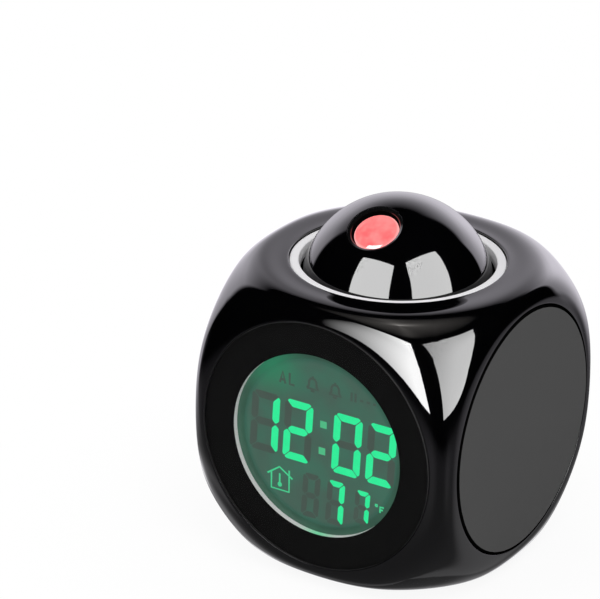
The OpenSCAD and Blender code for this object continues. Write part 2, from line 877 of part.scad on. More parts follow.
// Flat cable from the back of the display board down to the main board's front edge.
module display_ribbon() {
    back_y = -(display_board_front - display_board_t);
    bend_y = back_y + ribbon_t + ribbon_bend;
    bend_z = board_top + ribbon_t + ribbon_bend;
    color([0.85, 0.8, 0.65]) body_frame() {
        translate([-ribbon_w / 2, back_y, bend_z]) cube([ribbon_w, ribbon_t, ribbon_up]);
        translate([-ribbon_w / 2, bend_y, board_top])
            cube([ribbon_w, -board_w / 2 + ribbon_on - bend_y, ribbon_t]);
        translate([-ribbon_w / 2, bend_y, bend_z]) rotate([90, 0, 90])
            rotate_extrude(angle = 90, start = 180)
                translate([ribbon_bend, 0]) square([ribbon_t, ribbon_w]);
    }
}

// Plate on four legs over the main board, with the two posts that the carriage slides on.
module guide_frame() {
    color([0.35, 0.35, 0.37]) body_frame() difference() {
        union() {
            rounded_slab(guide_l, guide_w, guide_round, guide_bottom, guide_top);
            at_corners(stack_x, stack_y) disc(leg_r, board_top, guide_bottom + eps);
            for (x = [-1, 1]) translate([x * post_x, 0, 0]) disc(post_r, guide_top - eps, cradle_top);
        }
        disc(stem_r + 1.5, guide_bottom - eps, guide_top + eps);
        at_corners(stack_x, stack_y) disc(stack_screw_r + fit, board_top - eps, guide_top + eps);
        for (x = [-1, 1]) translate([x * post_x, 0, 0]) disc(0.9, cradle_top - 6, cradle_top + eps);
    }
}

module stack_screws() {
    color(steel) body_frame() at_corners(stack_x, stack_y) translate([0, 0, guide_top])
        screw(stack_screw_r, guide_top - tray_ceiling, 2.2, 1.4);
}

// Shouldered screws: their heads stop the carriage at the top of its travel.
module guide_screws() {
    color(steel) body_frame() for (x = [-1, 1]) translate([x * post_x, 0, cradle_top])
        screw(0.9, guide_screw_l, post_r + 1.2, guide_head_h);
}

// ---------- Snooze carriage ----------

module cradle_arm() {
    foot_w = cradle_w - 4;
    rotate([90, 0, 90]) linear_extrude(arm_t) difference() {
        union() {
            polygon([
                [-foot_w / 2, cradle_top - cradle_t], [foot_w / 2, cradle_top - cradle_t],
                [arm_head_r, ball_z], [-arm_head_r, ball_z]
            ]);
            translate([0, ball_z]) circle(arm_head_r);
        }
        translate([0, ball_z]) circle(pin_r + running);
    }
}

module ball_cradle() {
    color([0.3, 0.3, 0.32]) body_frame() {
        difference() {
            union() {
                slab(2 * (arm_x + arm_t), cradle_w, cradle_top - cradle_t, cradle_top);
                for (x = [-1, 1]) translate([x * post_x, 0, 0]) disc(bush_r, bush_bottom, cradle_top);
                disc(stem_r, stem_end, cradle_top);
            }
            for (x = [-1, 1]) translate([x * post_x, 0, 0])
                disc(post_r + running, bush_bottom - eps, cradle_top + eps);
        }
        translate([arm_x, 0, 0]) cradle_arm();
        translate([-arm_x - arm_t, 0, 0]) cradle_arm();
    }
}

module snooze_spring(side) {
    color(nickel) body_frame() translate([side * post_x, 0, guide_top])
        coil_spring(spring_mean_r, spring_wire / 2, bush_bottom - guide_top, spring_turns);
}

module snooze_spring_left() { snooze_spring(-1); }
module snooze_spring_right() { snooze_spring(1); }

// ---------- Projector ball ----------

// The upper half of the ball; the lower one is its mirror image.
module half_shell() {
    difference() {
        union() {
            rotate_extrude() intersection() {
                difference() {
                    circle(ball_r);
                    circle(ball_inner_r);
                }
                square(2 * ball_r);
            }
            intersection() {
                rotate_extrude() intersection() {
                    circle(ball_r - ball_wall / 2);
                    square(2 * ball_r);
                }
                for (side = [-1, 1]) rotate([0, 90 * side, 0]) disc(boss_r, pin_inner, ball_r);
            }
        }
        rotate([0, 90, 0]) cylinder(r = pin_r, h = 4 * ball_r, center = true);
    }
}

module ball_upper_shell() {
    color(black_gloss) difference() {
        body_frame() translate([0, 0, ball_z]) half_shell();
        lens_frame() disc(barrel_r + fit / 2, 0, 2 * ball_r);
    }
}

module ball_lower_shell() {
    color(black_gloss) body_frame() translate([0, 0, ball_z]) mirror([0, 0, 1]) half_shell();
}

// Tube from the lamp's board to the ball's skin, with a flared mouth round the lens.
module lens_barrel() {
    mouth = ball_r;
    color(black_matt) lens_frame() difference() {
        union() {
            intersection() {
                disc(barrel_r, 0, 2 * ball_r);
                sphere(ball_r);
            }
            disc(barrel_flange_r, barrel_flange_top - barrel_flange_t, barrel_flange_top);
        }
        disc(lens_r + fit / 2, lens_seat, 2 * ball_r);
        disc(shelf_r, film_front - eps, lens_seat + eps);
        disc(lens_r + fit / 2, -eps, film_front);
        rotate_extrude() polygon([
            [0, lens_h - lens_crown], [lens_r, lens_h - lens_crown],
            [barrel_r - 0.3, mouth - 0.6], [barrel_r - 0.3, mouth + 2], [0, mouth + 2]
        ]);
    }
}

// A lens with a flat back on z = 0, a straight edge and a spherical crown.
module crowned_lens(r, edge, crown) {
    crown_r = (r * r + crown * crown) / (2 * crown);
    intersection() {
        disc(r, 0, edge + crown + 1);
        translate([0, 0, edge + crown - crown_r]) sphere(crown_r);
    }
}

module projector_lens() {
    color([0.95, 0.35, 0.35, 0.8]) lens_frame() translate([0, 0, lens_seat])
        crowned_lens(lens_r, lens_edge_t, lens_crown);
}

module time_film() {
    color([0.5, 0.25, 0.25]) lens_frame() disc(lens_r, film_front - film_t, film_front);
}

module condenser_lens() {
    color([0.9, 0.9, 0.95, 0.6]) lens_frame() translate([0, 0, film_front - film_t])
        rotate([180, 0, 0]) crowned_lens(lens_r, condenser_t - 1, 1);
}

module projector_led() {
    color([0.9, 0.15, 0.15]) lens_frame() {
        disc(led_r, 0, led_l - led_r);
        translate([0, 0, led_l - led_r]) intersection() {
            sphere(led_r);
            disc(2 * led_r, 0, 2 * led_r);
        }
        disc(led_r + 0.4, 0, 1);
    }
}

module led_board() {
    color(board_green) lens_frame() disc(barrel_r, -led_board_t, 0);
}

module pivot_pins() {
    color(steel) body_frame() translate([0, 0, ball_z]) for (side = [-1, 1])
        rotate([0, 90 * side, 0]) disc(pin_r, pin_inner, pin_outer);
}

// ---------- Drawing ----------

housing();
front_cover();
window_border();
display_frame();
lcd_glass();
light_panel();
lcd_connectors();
display_board();
backlight_leds();
display_screws();
side_disc_left();
side_disc_right();
top_ring();
ring_screws();
rear_panel();
rear_panel_screws();
control_board();
control_board_screws();
key_switches();
dc_jack();
speaker_basket();
speaker_magnet();
speaker_cone();
key_1();
key_2();
key_3();
key_4();
base_plate();
base_screws();
foot_1();
foot_2();
foot_3();
foot_4();
battery_door();
battery_contacts();
battery_springs();
cell_1();
cell_2();
cell_3();
main_board();
main_chip();
board_parts();
snooze_switch();
display_ribbon();
guide_frame();
stack_screws();
guide_screws();
ball_cradle();
snooze_spring_left();
snooze_spring_right();
ball_upper_shell();
ball_lower_shell();
lens_barrel();
projector_lens();
time_film();
condenser_lens();
projector_led();
led_board();
pivot_pins();
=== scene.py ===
# %% [markdown]
# # A projection alarm clock
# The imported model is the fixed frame: every piece below takes its size and place from it.
# Lengths are in millimetres unless a comment says otherwise, and the factor MM turns them
# into Blender's metres.
# The clock's display faces -Y, its ball sits on top, and it stands on z = 0.

# %% Load the frame
import json
import math

import bmesh
import bpy
import numpy as np
from mathutils import Matrix, Vector

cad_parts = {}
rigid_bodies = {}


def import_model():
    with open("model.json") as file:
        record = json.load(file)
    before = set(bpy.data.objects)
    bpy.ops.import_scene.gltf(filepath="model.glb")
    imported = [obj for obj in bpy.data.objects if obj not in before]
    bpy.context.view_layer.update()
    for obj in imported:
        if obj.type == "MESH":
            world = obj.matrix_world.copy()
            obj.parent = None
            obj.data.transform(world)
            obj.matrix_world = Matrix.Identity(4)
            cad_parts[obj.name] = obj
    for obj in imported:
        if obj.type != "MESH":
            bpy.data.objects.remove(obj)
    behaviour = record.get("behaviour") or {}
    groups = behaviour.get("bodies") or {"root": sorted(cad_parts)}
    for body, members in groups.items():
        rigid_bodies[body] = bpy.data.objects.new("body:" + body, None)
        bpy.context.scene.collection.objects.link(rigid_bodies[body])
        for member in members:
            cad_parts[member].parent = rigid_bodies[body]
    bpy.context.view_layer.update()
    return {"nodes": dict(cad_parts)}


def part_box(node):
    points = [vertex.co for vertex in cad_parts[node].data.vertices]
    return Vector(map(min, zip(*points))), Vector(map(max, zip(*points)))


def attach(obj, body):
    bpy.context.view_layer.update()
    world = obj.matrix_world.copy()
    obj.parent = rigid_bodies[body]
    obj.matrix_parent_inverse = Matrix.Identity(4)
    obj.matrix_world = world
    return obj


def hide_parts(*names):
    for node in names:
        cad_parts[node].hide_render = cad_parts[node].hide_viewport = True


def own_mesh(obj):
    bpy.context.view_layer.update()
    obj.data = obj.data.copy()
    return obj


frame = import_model()
MM = 0.001


def box_mm(node):
    """Lowest and highest corner of a CAD node, in millimetres."""
    low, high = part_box(node)
    return np.array(low) / MM, np.array(high) / MM


def add_object(name, data):
    """A new object with this data, in the scene."""
    made = bpy.data.objects.new(name, data)
    bpy.context.scene.collection.objects.link(made)
    return made


side_low, side_high = box_mm("side_disc_right")
HALF = side_high[0]
CENTRE = np.array([0, 0, (side_low[2] + side_high[2]) / 2])
print("body", 2 * HALF, "mm wide, its centre", CENTRE[2], "mm up")

# %% [markdown]
# ## The camera
# The clock is seen from its right and from above, from about a metre away. A camera could be
# turned to a target by a constraint, but a matrix made of its three axes is exact and stays
# put. Two pairs of angles say where it stands round the body's centre and how it looks.

# %% Camera
camera_distance = 1021.49
camera_turn, camera_height = 31.083, 25.522     # degrees, of the camera's place
look_turn, look_height = 32.679, 24.149         # degrees, against the way it looks
camera_roll = 0.753
focal_length, sensor_width = 228.88, 36.0


def toward(turn, height):
    """Unit vector from the body's centre towards a place round it, in degrees."""
    t, h = math.radians(turn), math.radians(height)
    return Vector((math.sin(t) * math.cos(h), -math.cos(t) * math.cos(h), math.sin(h)))


def add_camera():
    back = toward(look_turn, look_height)
    right = Vector((-back.y, back.x, 0)).normalized()
    up = back.cross(right)
    turned = Matrix.Rotation(math.radians(camera_roll), 3, back)
    right, up = turned @ right, turned @ up
    data = bpy.data.cameras.new("camera")
    data.lens, data.sensor_width = focal_length, sensor_width
    data.clip_start, data.clip_end = 0.05, 50
    camera = add_object("camera", data)
    place = Vector(CENTRE) * MM + toward(camera_turn, camera_height) * camera_distance * MM
    axes = Matrix((right, up, back)).transposed().to_4x4()
    camera.matrix_world = Matrix.Translation(place) @ axes
    bpy.context.scene.camera = camera
    return camera


camera = add_camera()
print("camera at", tuple(round(c, 3) for c in camera.location))

# %% [markdown]
# ## Writing node trees as expressions
# Shader and geometry trees are both built from small maths. Nodes could be added and linked
# one call at a time, but then the sum that they work out is hard to see. So `Net` adds nodes
# to a tree, and `Wire` stands for one output socket: `1 - mask * 0.5` adds its own nodes.

# %% A socket that can be used in sums
def operator(operation, swapped=False):
    """A method that adds one Math node; swapped is for a number on the left."""
    def add_node(self, other):
        return self.math(operation, *((other, self) if swapped else (self, other)))
    return add_node


class Wire:
    """One output socket of a node."""

    def __init__(self, net, node, output=0):
        self.net, self.node, self.output = net, node, output

    def __getitem__(self, output):
        return Wire(self.net, self.node, output)

    @property
    def socket(self):
        return self.node.outputs[self.output]

    def math(self, operation, *values):
        return self.net.node("ShaderNodeMath", {"operation": operation}, dict(enumerate(values)))

    __add__ = __radd__ = operator("ADD")
    __mul__ = __rmul__ = operator("MULTIPLY")
    __sub__, __rsub__ = operator("SUBTRACT"), operator("SUBTRACT", swapped=True)
    __truediv__, __rtruediv__ = operator("DIVIDE"), operator("DIVIDE", swapped=True)
    __pow__, __lt__ = operator("POWER"), operator("LESS_THAN")

    def ramp(self, start, end):
        """0 before start, 1 after end, straight between; start may be the larger one."""
        return self.step(start, end, "LINEAR")

    def step(self, start, end, shape="SMOOTHSTEP"):
        """0 before start, 1 after end, smooth between; start may be the larger one."""
        settings = {"interpolation_type": shape}
        low, high, first, last = (start, end, 0, 1) if start < end else (end, start, 1, 0)
        return self.net.node("ShaderNodeMapRange", settings,
                             {0: self, 1: low, 2: high, 3: first, 4: last})


# %% A tree that grows by calls
class Net:
    """A node tree that grows by calls and expressions."""

    def __init__(self, tree):
        self.tree = tree

    def node(self, kind, settings=None, sockets=None):
        made = self.tree.nodes.new(kind)
        for name, value in (settings or {}).items():
            setattr(made, name, value)
        for key, value in (sockets or {}).items():
            self.feed(made.inputs[key], value)
        return Wire(self, made)

    def feed(self, socket, value):
        if isinstance(value, Wire):
            self.tree.links.new(value.socket, socket)
        elif socket.type == "RGBA" and len(value) == 3:
            socket.default_value = (*value, 1)
        else:
            socket.default_value = value

    def blend(self, mask, first, second):
        """Colour that goes from first to second as mask goes from 0 to 1."""
        mixed = self.node("ShaderNodeMix", {"data_type": "RGBA"}, {0: mask, 6: first, 7: second})
        return mixed[2]

    def noise(self, place, scale, detail=3, roughness=0.5):
        return self.node("ShaderNodeTexNoise", sockets={
            "Vector": place, "Scale": scale, "Detail": detail, "Roughness": roughness})

    def split(self, vector):
        return self.node("ShaderNodeSeparateXYZ", sockets={0: vector})

    def object_place(self):
        """Place on the object, in metres."""
        return self.node("ShaderNodeTexCoord")["Object"]

    def bump(self, height, distance, strength=1.0):
        return self.node("ShaderNodeBump", sockets={
            "Height": height, "Distance": distance, "Strength": strength})


# %% Empty materials and screen colours
def new_material(name):
    """An empty material with its Net and its output node."""
    material = bpy.data.materials.new(name)
    material.use_nodes = True
    material.node_tree.nodes.clear()
    net = Net(material.node_tree)
    output = net.node("ShaderNodeOutputMaterial")
    return material, net, output.node.inputs["Surface"]


def srgb(red, green, blue):
    """Linear colour of an 8-bit screen colour."""
    shares = (red / 255, green / 255, blue / 255)
    return tuple(c / 12.92 if c <= 0.04045 else ((c + 0.055) / 1.055) ** 2.4 for c in shares)


# %% Geometry trees
def new_geometry_tree(name, inputs, output):
    """A tree with its Net and its group input; inputs gives each socket's name and kind."""
    tree = bpy.data.node_groups.new(name, "GeometryNodeTree")
    for label, kind in inputs.items():
        tree.interface.new_socket(label, in_out="INPUT", socket_type="NodeSocket" + kind)
    tree.interface.new_socket(output, in_out="OUTPUT", socket_type="NodeSocketGeometry")
    net = Net(tree)
    return tree, net, net.node("NodeGroupInput")


def close_geometry_tree(net, geometry, material):
    """The geometry, made real and in its material, leaves the tree."""
    whole = net.node("GeometryNodeRealizeInstances", sockets={0: geometry})
    coloured = net.node("GeometryNodeSetMaterial", sockets={
        "Geometry": whole, "Material": material})
    output = net.node("NodeGroupOutput")
    net.feed(output.node.inputs[0], coloured)


# %% [markdown]
# ## The studio
# Black gloss shows nothing but what stands round it, so the studio is part of its look. The
# clock stands on a plain pale floor in even light. Floor and world look pure white to the
# camera, as a lit backdrop does. Only close to the clock does some of the floor's own paper
# show, which takes the soft shadow. A floor that is white light all over would lose that
# shadow. From below the floor is clear, so that it doesn't hide the base.

# %% Floor
bpy.context.scene.view_settings.view_transform = "Standard"
floor_size = 14.0                   # metres
floor_colour = (0.93, 0.93, 0.93)
paper_share = 0.08                  # of its own paper in what the camera sees of the floor
paper_reach = (0.03, 0.12)          # metres from the middle between which that fades out


def add_floor():
    bpy.ops.mesh.primitive_plane_add(size=floor_size)
    floor = bpy.context.object
    floor.name = "floor"
    material, net, surface = new_material("floor_paper")
    paper = net.node("ShaderNodeBsdfDiffuse", sockets={"Color": floor_colour})
    white = net.node("ShaderNodeEmission", sockets={"Color": (1, 1, 1), "Strength": 1.0})
    place = net.split(net.object_place())
    far = (place["X"] * place["X"] + place["Y"] * place["Y"]) ** 0.5
    shown = net.node("ShaderNodeLightPath")["Is Camera Ray"]
    mixed = net.node("ShaderNodeMixShader", sockets={
        0: shown * (1 - paper_share + far.step(*paper_reach) * paper_share),
        1: paper, 2: white})
    below = net.node("ShaderNodeNewGeometry")["Backfacing"]
    clear = net.node("ShaderNodeBsdfTransparent")
    net.feed(surface, net.node("ShaderNodeMixShader", sockets={
        0: shown * below, 1: mixed, 2: clear}))
    floor.data.materials.append(material)
    floor.visible_glossy = False
    floor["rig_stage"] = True


add_floor()
print("floor of", floor_size, "m")

# %% World
even_light = 0.62                   # strength of the sky that lights the clock


def set_world():
    world = bpy.data.worlds.new("studio")
    bpy.context.scene.world = world
    world.use_nodes = True
    world.node_tree.nodes.clear()
    net = Net(world.node_tree)
    path = net.node("ShaderNodeLightPath")
    seen = path["Is Camera Ray"] + path["Is Glossy Ray"] + path["Is Transmission Ray"]
    shown = seen.math("MINIMUM", seen, 1.0)
    strength = even_light + shown * (1 - even_light)
    light = net.node("ShaderNodeBackground", sockets={"Color": (1, 1, 1), "Strength": strength})
    output = net.node("ShaderNodeOutputWorld")
    net.feed(output.node.inputs["Surface"], light)
    # an even sky needs no light samples of its own, and so meets no flag
    world.cycles.sampling_method = "NONE"


set_world()
print("even light of strength", even_light)

# %% Lamps
# turn and height in degrees, distance and size in metres, power in watts
lamp_table = {"key_light": (50, 55, 1.6, 0.9, 9), "fill_light": (-45, 40, 1.8, 1.1, 6)}


def add_lamp(name, turn, height, distance, size, power):
    data = bpy.data.lights.new(name, "AREA")
    data.shape, data.size, data.energy = "DISK", size, power
    lamp = add_object(name, data)
    way = toward(turn, height)
    lamp.location = Vector(CENTRE) * MM + way * distance
    lamp.rotation_euler = way.to_track_quat("Z", "Y").to_euler()
    lamp.visible_glossy = False
    return lamp


lamps = [add_lamp(name, *numbers) for name, numbers in lamp_table.items()]
print(len(lamps), "lamps")

# %% [markdown]
# ## What only reflections meet
# What the gloss mirrors is painted on tents, large spheres that only glossy rays meet. A
# picture of a room could be wrapped round the scene, but a rule made of soft steps stays
# small and sharp. A tent's light is added to what lies behind it, so tents can be nested,
# and light linking lets the ball see another tent than the body, which it stands on.

# %% A sphere of cloth
def gloss_only(thing):
    """Hides a stage piece from everything but reflections."""
    for ray in ("camera", "diffuse", "transmission", "volume_scatter", "shadow"):
        setattr(thing, "visible_" + ray, False)
    thing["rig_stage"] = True
    return thing


def tent_sphere(name, radius):
    bpy.ops.mesh.primitive_uv_sphere_add(segments=96, ring_count=48, radius=radius)
    tent = bpy.context.object
    tent.name = name
    tent.data.transform(Matrix.Translation(Vector(CENTRE) * MM))
    return gloss_only(tent)


def seen_by(thing, receivers):
    """Only the pieces in a collection see this light."""
    thing.light_linking.receiver_collection = receivers


def lit_sheer(net, surface, level, colour=(1, 1, 1)):
    """Light that is added to whatever lies behind it."""
    light = net.node("ShaderNodeEmission", sockets={"Color": colour, "Strength": level})
    clear = net.node("ShaderNodeBsdfTransparent")
    net.feed(surface, net.node("ShaderNodeAddShader", sockets={0: light, 1: clear}))


# %% Who sees which light, and the darkness behind all
body_receivers, ball_receivers, shell_receivers, front_receivers = (
    bpy.data.collections.new(name + "_receivers") for name in ("body", "ball", "shell", "front"))

dark_tent = tent_sphere("dark_tent", 7.0)
dark_cloth, net, surface = new_material("dark_cloth")
net.feed(surface, net.node("ShaderNodeEmission", sockets={"Color": (0, 0, 0), "Strength": 0.0}))
dark_tent.data.materials.append(dark_cloth)
print("dark tent")

# %% [markdown]
# ### Directions on a tent
# A place on a tent is given by a turn round the clock (0 behind it, 90 to its right, 180 in
# front, -90 to its left) and a height over the horizon, both in degrees. The numbers in the
# next cells are such degrees, and the first factor of a term is its brightness.

# %% Turn and height
seam_turn = -130                    # the turn runs on from here to 230


def directions(net):
    """Turn and height of a point on a tent."""
    centred = net.node("ShaderNodeVectorMath", {"operation": "SUBTRACT"}, {
        0: net.object_place(), 1: tuple(CENTRE * MM)})
    place = net.split(centred)
    across = (place["X"] * place["X"] + place["Y"] * place["Y"]) ** 0.5
    to_degrees = 180 / math.pi
    turn = place["X"].math("ARCTAN2", place["X"], place["Y"]) * to_degrees
    height = place["Z"].math("ARCTAN2", place["Z"], across) * to_degrees
    return turn + 360 * (turn < seam_turn), height


def bump_of(value, middle, spread):
    """A soft hill of height 1 round a middle value."""
    away = (value - middle) / spread
    return away.math("EXPONENT", away * away * -1)


# %% The sheet behind the clock
def backdrop_light(turn, height, left, corner, top_end):
    """Two bright lobes on a sheet behind the clock; left, corner and top_end are where it ends."""
    right_lobe = 1.36 * bump_of(turn, -1, 20) * (0.8 + 0.2 * height.step(-12, 6))
    lobes = 1.39 + 0.5 * bump_of(turn, -59, 15) + right_lobe
    right_edge = turn.step(27.2, 23.5) * (turn + height * 1.1).step(corner, corner - 12)
    left_edge = (turn + (height + 2) * (height + 2) * 0.06 * (height < -2)).step(left - 3, left + 3)
    top = ((top_end - height) / (top_end - 17)).ramp(0, 1)
    bottom = height.ramp(-40, 8) * 0.85 + 0.15
    return lobes * right_edge * left_edge * top * bottom


# %% A tent with a rule for its light
def add_surroundings(name, radius, receivers, level_of):
    tent = tent_sphere(name, radius)
    material, net, surface = new_material(name)
    turn, height = directions(net)
    # the sheet is a little lilac, the ceiling a little warm
    tint = net.blend(height.step(50, 62), (1.0, 0.96, 1.055), (1.05, 1.0, 0.95))
    tint = net.blend(height.step(-22, -32), tint, (1.0, 0.99, 1.02))
    lit_sheer(net, surface, level_of(turn, height), tint)
    material.cycles.emission_sampling = "NONE"
    tent.data.materials.append(material)
    seen_by(tent, receivers)


# %% What the body mirrors
def lit_sheet(turn, height):
    """The sheet, with a darker band for the flat top and a brighter foot on the left."""
    low_edge = (height - 5 * turn.step(-34, -18) - 6 * turn.step(8, 23)).step(-31, -21)
    top_end = 40 + 4 * turn.step(-60, 0)
    backdrop = backdrop_light(turn, height, -76, 60, top_end) * low_edge
    band = 0.36 * bump_of(turn, -35, 5.5) * height.step(8, 18) * height.step(36, 25)
    foot = 0.8 * bump_of(turn, -39, 12) * height.step(15, 0) * height.step(-27, -18)
    corner_foot = 1.1 * bump_of(turn, -82, 10) * bump_of(height, -18, 6)
    return backdrop * (1 - band) + foot + corner_foot


def lit_floor(turn, height):
    """The floor: two streaks and a spot where light falls behind the clock, and a dim rest."""
    near_path = -34.5 + 5 * turn.step(-66, -52)
    near_level = turn.step(-40, -52) * (0.4 + 1.6 * turn.ramp(-98, -64))
    far_path = (turn + 72) * 0.56 - 55
    far_ends = turn.step(-84, -62) * turn.step(-30, -44)
    streaks = (bump_of(height, near_path, 2.8) * near_level
               + 1.1 * bump_of(height, far_path, 3) * far_ends)
    spot = 2.1 * bump_of(turn, -11, 12) * bump_of(height, -38, 4)
    behind = (0.3 * turn.step(-110, -90) * turn.step(30, 0)
              * height.step(-32, -40) * height.step(-68, -50))
    left = 0.25 * turn.step(-130, -97) * turn.step(-62, -80) * height.step(-18, -26)
    right = 0.27 * turn.step(17, 25) * turn.step(60, 40) * height.step(-14.5, -17)
    in_front = bump_of(turn, 90, 20) + bump_of(turn, 188, 14)
    rest = 0.15 * height.step(-14, -24) + 0.16 * bump_of(height, -25, 9) * in_front
    return streaks + spot + behind + left + right + rest


def lit_ceiling(turn, height):
    """The ceiling, brightest overhead."""
    sides = 0.4 * (bump_of(turn, 140, 12) + bump_of(turn, -40, 12))
    zenith = 3.2 * bump_of(height, 90, 7) * bump_of(turn, -20, 60)
    return height.step(58, 65) * (0.2 + 0.6 * height.ramp(64, 86) + sides + zenith)


def body_surroundings(turn, height):
    return lit_sheet(turn, height) + lit_floor(turn, height) + lit_ceiling(turn, height)


# %% What the ball mirrors, and both tents
def ball_surroundings(turn, height):
    top_end = 43 + 6 * turn.step(-60, 0)
    return backdrop_light(turn, height, -83, 57, top_end) * height.step(-27, -8)


add_surroundings("body_surroundings", 6.5, body_receivers, body_surroundings)
add_surroundings("ball_surroundings", 6.4, ball_receivers, ball_surroundings)
print("surroundings")

# %% [markdown]
# ## Soft boxes and their flags
# A soft box is a cloth panel with a lamp in it, and gloss shows its very outline. An area
# lamp gives a plain disc or rectangle, so each box is a flat mesh that glows, and its edges
# are bent where the curved gloss straightens them. A flag is a black board that keeps a
# lamp's light off some faces. Without flags the back and the top would mirror the boxes at a
# grazing angle and go white. A flag stops its own box only, and no camera sees it.

# %% Flags
blocker_sets = []


def stopped_by(light, flags=()):
    """The clock's own pieces and these flags stop a light; other flags don't."""
    blockers = bpy.data.collections.new(light.name + "_blockers")
    for board in flags:
        blockers.objects.link(board)
    light.light_linking.blocker_collection = blockers
    blocker_sets.append(blockers)


def flag(name, *corners):
    """A black board beside the clock, that only shadow rays meet."""
    mesh = bpy.data.meshes.new(name)
    mesh.from_pydata([Vector(c) * MM for c in corners], [], [(0, 1, 2, 3)])
    board = add_object(name, mesh)
    for ray in ("camera", "diffuse", "glossy", "transmission", "volume_scatter"):
        setattr(board, "visible_" + ray, False)
    board.data.materials.append(dark_cloth)
    board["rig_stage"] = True
    return board


# each flag stands across the way from its box to the faces that it shades
flag_top = 190
ball_flag_top = 200
front_flag = flag("front_flag", (-90, -29, 81.3), (90, -29, 81.3),
                  (90, -29, flag_top), (-90, -29, flag_top))
right_flag = flag("right_flag", (27, -50, 81.3), (27, 90, 81.3),
                  (27, 90, flag_top), (27, -50, flag_top))
ball_front_flag = flag("ball_front_flag", (-26, -8, 72), (26, -8, 72),
                       (26, -8, ball_flag_top), (-26, -8, ball_flag_top))
ball_right_flag = flag("ball_right_flag", (5, -12, 72), (5, 26, 72),
                       (5, 26, ball_flag_top), (5, -12, ball_flag_top))
for lamp in lamps:
    stopped_by(lamp)
print("four flags")

# %% A soft box
panel_distance = 3.0                # metres


def add_soft_box(name, turn, outline, receivers, level_of, flags=()):
    """A glowing panel that faces the clock; its outline is (across, up) in distances."""
    angle = math.radians(turn)
    outward = Vector((math.sin(angle), math.cos(angle), 0))
    across = Vector((math.cos(angle), -math.sin(angle), 0))
    corners = [Vector(CENTRE) * MM + panel_distance * (outward + across * x + Vector((0, 0, h)))
               for x, h in outline]
    mesh = bpy.data.meshes.new(name)
    mesh.from_pydata(corners, [], [tuple(range(len(corners)))])
    panel = add_object(name, mesh)
    gloss_only(panel)
    material, net, surface = new_material(name)
    place = net.object_place()
    share = net.node("ShaderNodeVectorMath", {"operation": "DOT_PRODUCT"}, {
        0: place, 1: tuple(across / panel_distance)})["Value"]
    up = (net.split(place)["Z"] - CENTRE[2] * MM) / panel_distance
    lit_sheer(net, surface, level_of(share, up))
    mesh.materials.append(material)
    seen_by(panel, receivers)
    stopped_by(panel, flags)


# %% Outlines of the boxes
right_box = [
    (-0.81, -0.07), (-0.81, -0.115), (-0.76, -0.133), (-0.68, -0.125), (-0.50, -0.088),
    (-0.30, -0.045), (-0.04, -0.012), (0.268, -0.012), (0.272, 0.18), (0.281, 0.35),
    (0.274, 0.55), (0.272, 0.74), (0.279, 1.0), (0.322, 1.25), (0.36, 1.36), (-0.74, 1.36),
    (-0.67, 1.1), (-0.655, 0.9), (-0.63, 0.65), (-0.64, 0.36), (-0.70, 0.15)]
front_box = [
    (0.02, -0.10), (0.22, -0.14), (0.85, -0.155), (0.86, 0.5), (0.98, 1.38), (-0.47, 1.38),
    (-0.455, 1.15), (-0.441, 1.02), (-0.387, 0.74), (-0.288, 0.45), (-0.171, 0.22), (-0.065, 0.05)]
ball_right_box = [
    (-0.52, 0.13), (0.42, 0.13), (0.418, 0.44), (0.427, 0.72), (0.448, 0.91), (0.464, 1.13),
    (0.49, 1.56), (-0.80, 1.56), (-0.76, 1.2), (-0.69, 0.9), (-0.61, 0.52), (-0.57, 0.36)]
ball_front_box = [
    (-0.34, 0.15), (0.58, 0.15), (0.646, 0.75), (0.70, 1.1), (0.72, 1.33), (-0.41, 1.33),
    (-0.384, 0.9), (-0.35, 0.43)]


# %% Brightness of the boxes
def right_level(across, up):
    """Dimmer towards its top and its right."""
    side_fall = across.step(-0.25, 0.35) * (0.35 + 0.65 * up.step(0.2, 1.0))
    return (9.7 - 2.3 * up.step(0.7, 1.35)) * (1 - 0.33 * side_fall)


def front_level(across, up):
    """Brightest on the left of a slanting line, and dark at its right end."""
    dark_end, full = 0.84, 18
    start = 0.15 - 0.6 * up.math("MINIMUM", up, 0.85)
    share = (dark_end - across) / (dark_end - start)
    return full * share.math("MAXIMUM", share.math("MINIMUM", share, 1.0), 0.0)


def even_level(level):
    """Hardly brighter towards the top."""
    return lambda across, up: level + up * 0.01


add_soft_box("right_box", 109, right_box, body_receivers, right_level, [right_flag])
add_soft_box("front_box", 168, front_box, body_receivers, front_level, [front_flag])
add_soft_box("ball_right_box", 108, ball_right_box, shell_receivers, even_level(10.5),
             [ball_right_flag])
add_soft_box("ball_front_box", 178, ball_front_box, front_receivers, even_level(10.9),
             [ball_front_flag])
print(len(blocker_sets) - len(lamps), "soft boxes")

# %% [markdown]
# ## Making pieces
# A piece is drawn in millimetres as a few sheets of points, and joined into one mesh. A
# `lathe` turns an outline of (radius, height) round an axis, which suits a clock of discs,
# rings and a ball. Primitives with a Bevel modifier would do as well, but an outline holds
# all its sizes in one place. Its corners are softened, because no real edge is sharp and
# gloss shows a highlight on every one.


# %% Face frames
def face_frame(outward, across):
    """Matrix from a face's own axes (across, up, outward) to the clock's, in millimetres."""
    outward, across = Vector(outward), Vector(across)
    up = outward.cross(across)
    turned = Matrix((across, up, outward)).transposed().to_4x4()
    return np.array(Matrix.Translation(Vector(CENTRE)) @ turned)


FRONT = face_frame((0, -1, 0), (1, 0, 0))
REAR = face_frame((0, 1, 0), (-1, 0, 0))
RIGHT = face_frame((1, 0, 0), (0, 1, 0))
LEFT = face_frame((-1, 0, 0), (0, -1, 0))
TOP = face_frame((0, 0, 1), (1, 0, 0))
BASE = face_frame((0, 0, -1), (1, 0, 0))


def placed(matrix, points):
    points = np.asarray(points, float)
    return points @ matrix[:3, :3].T + matrix[:3, 3]


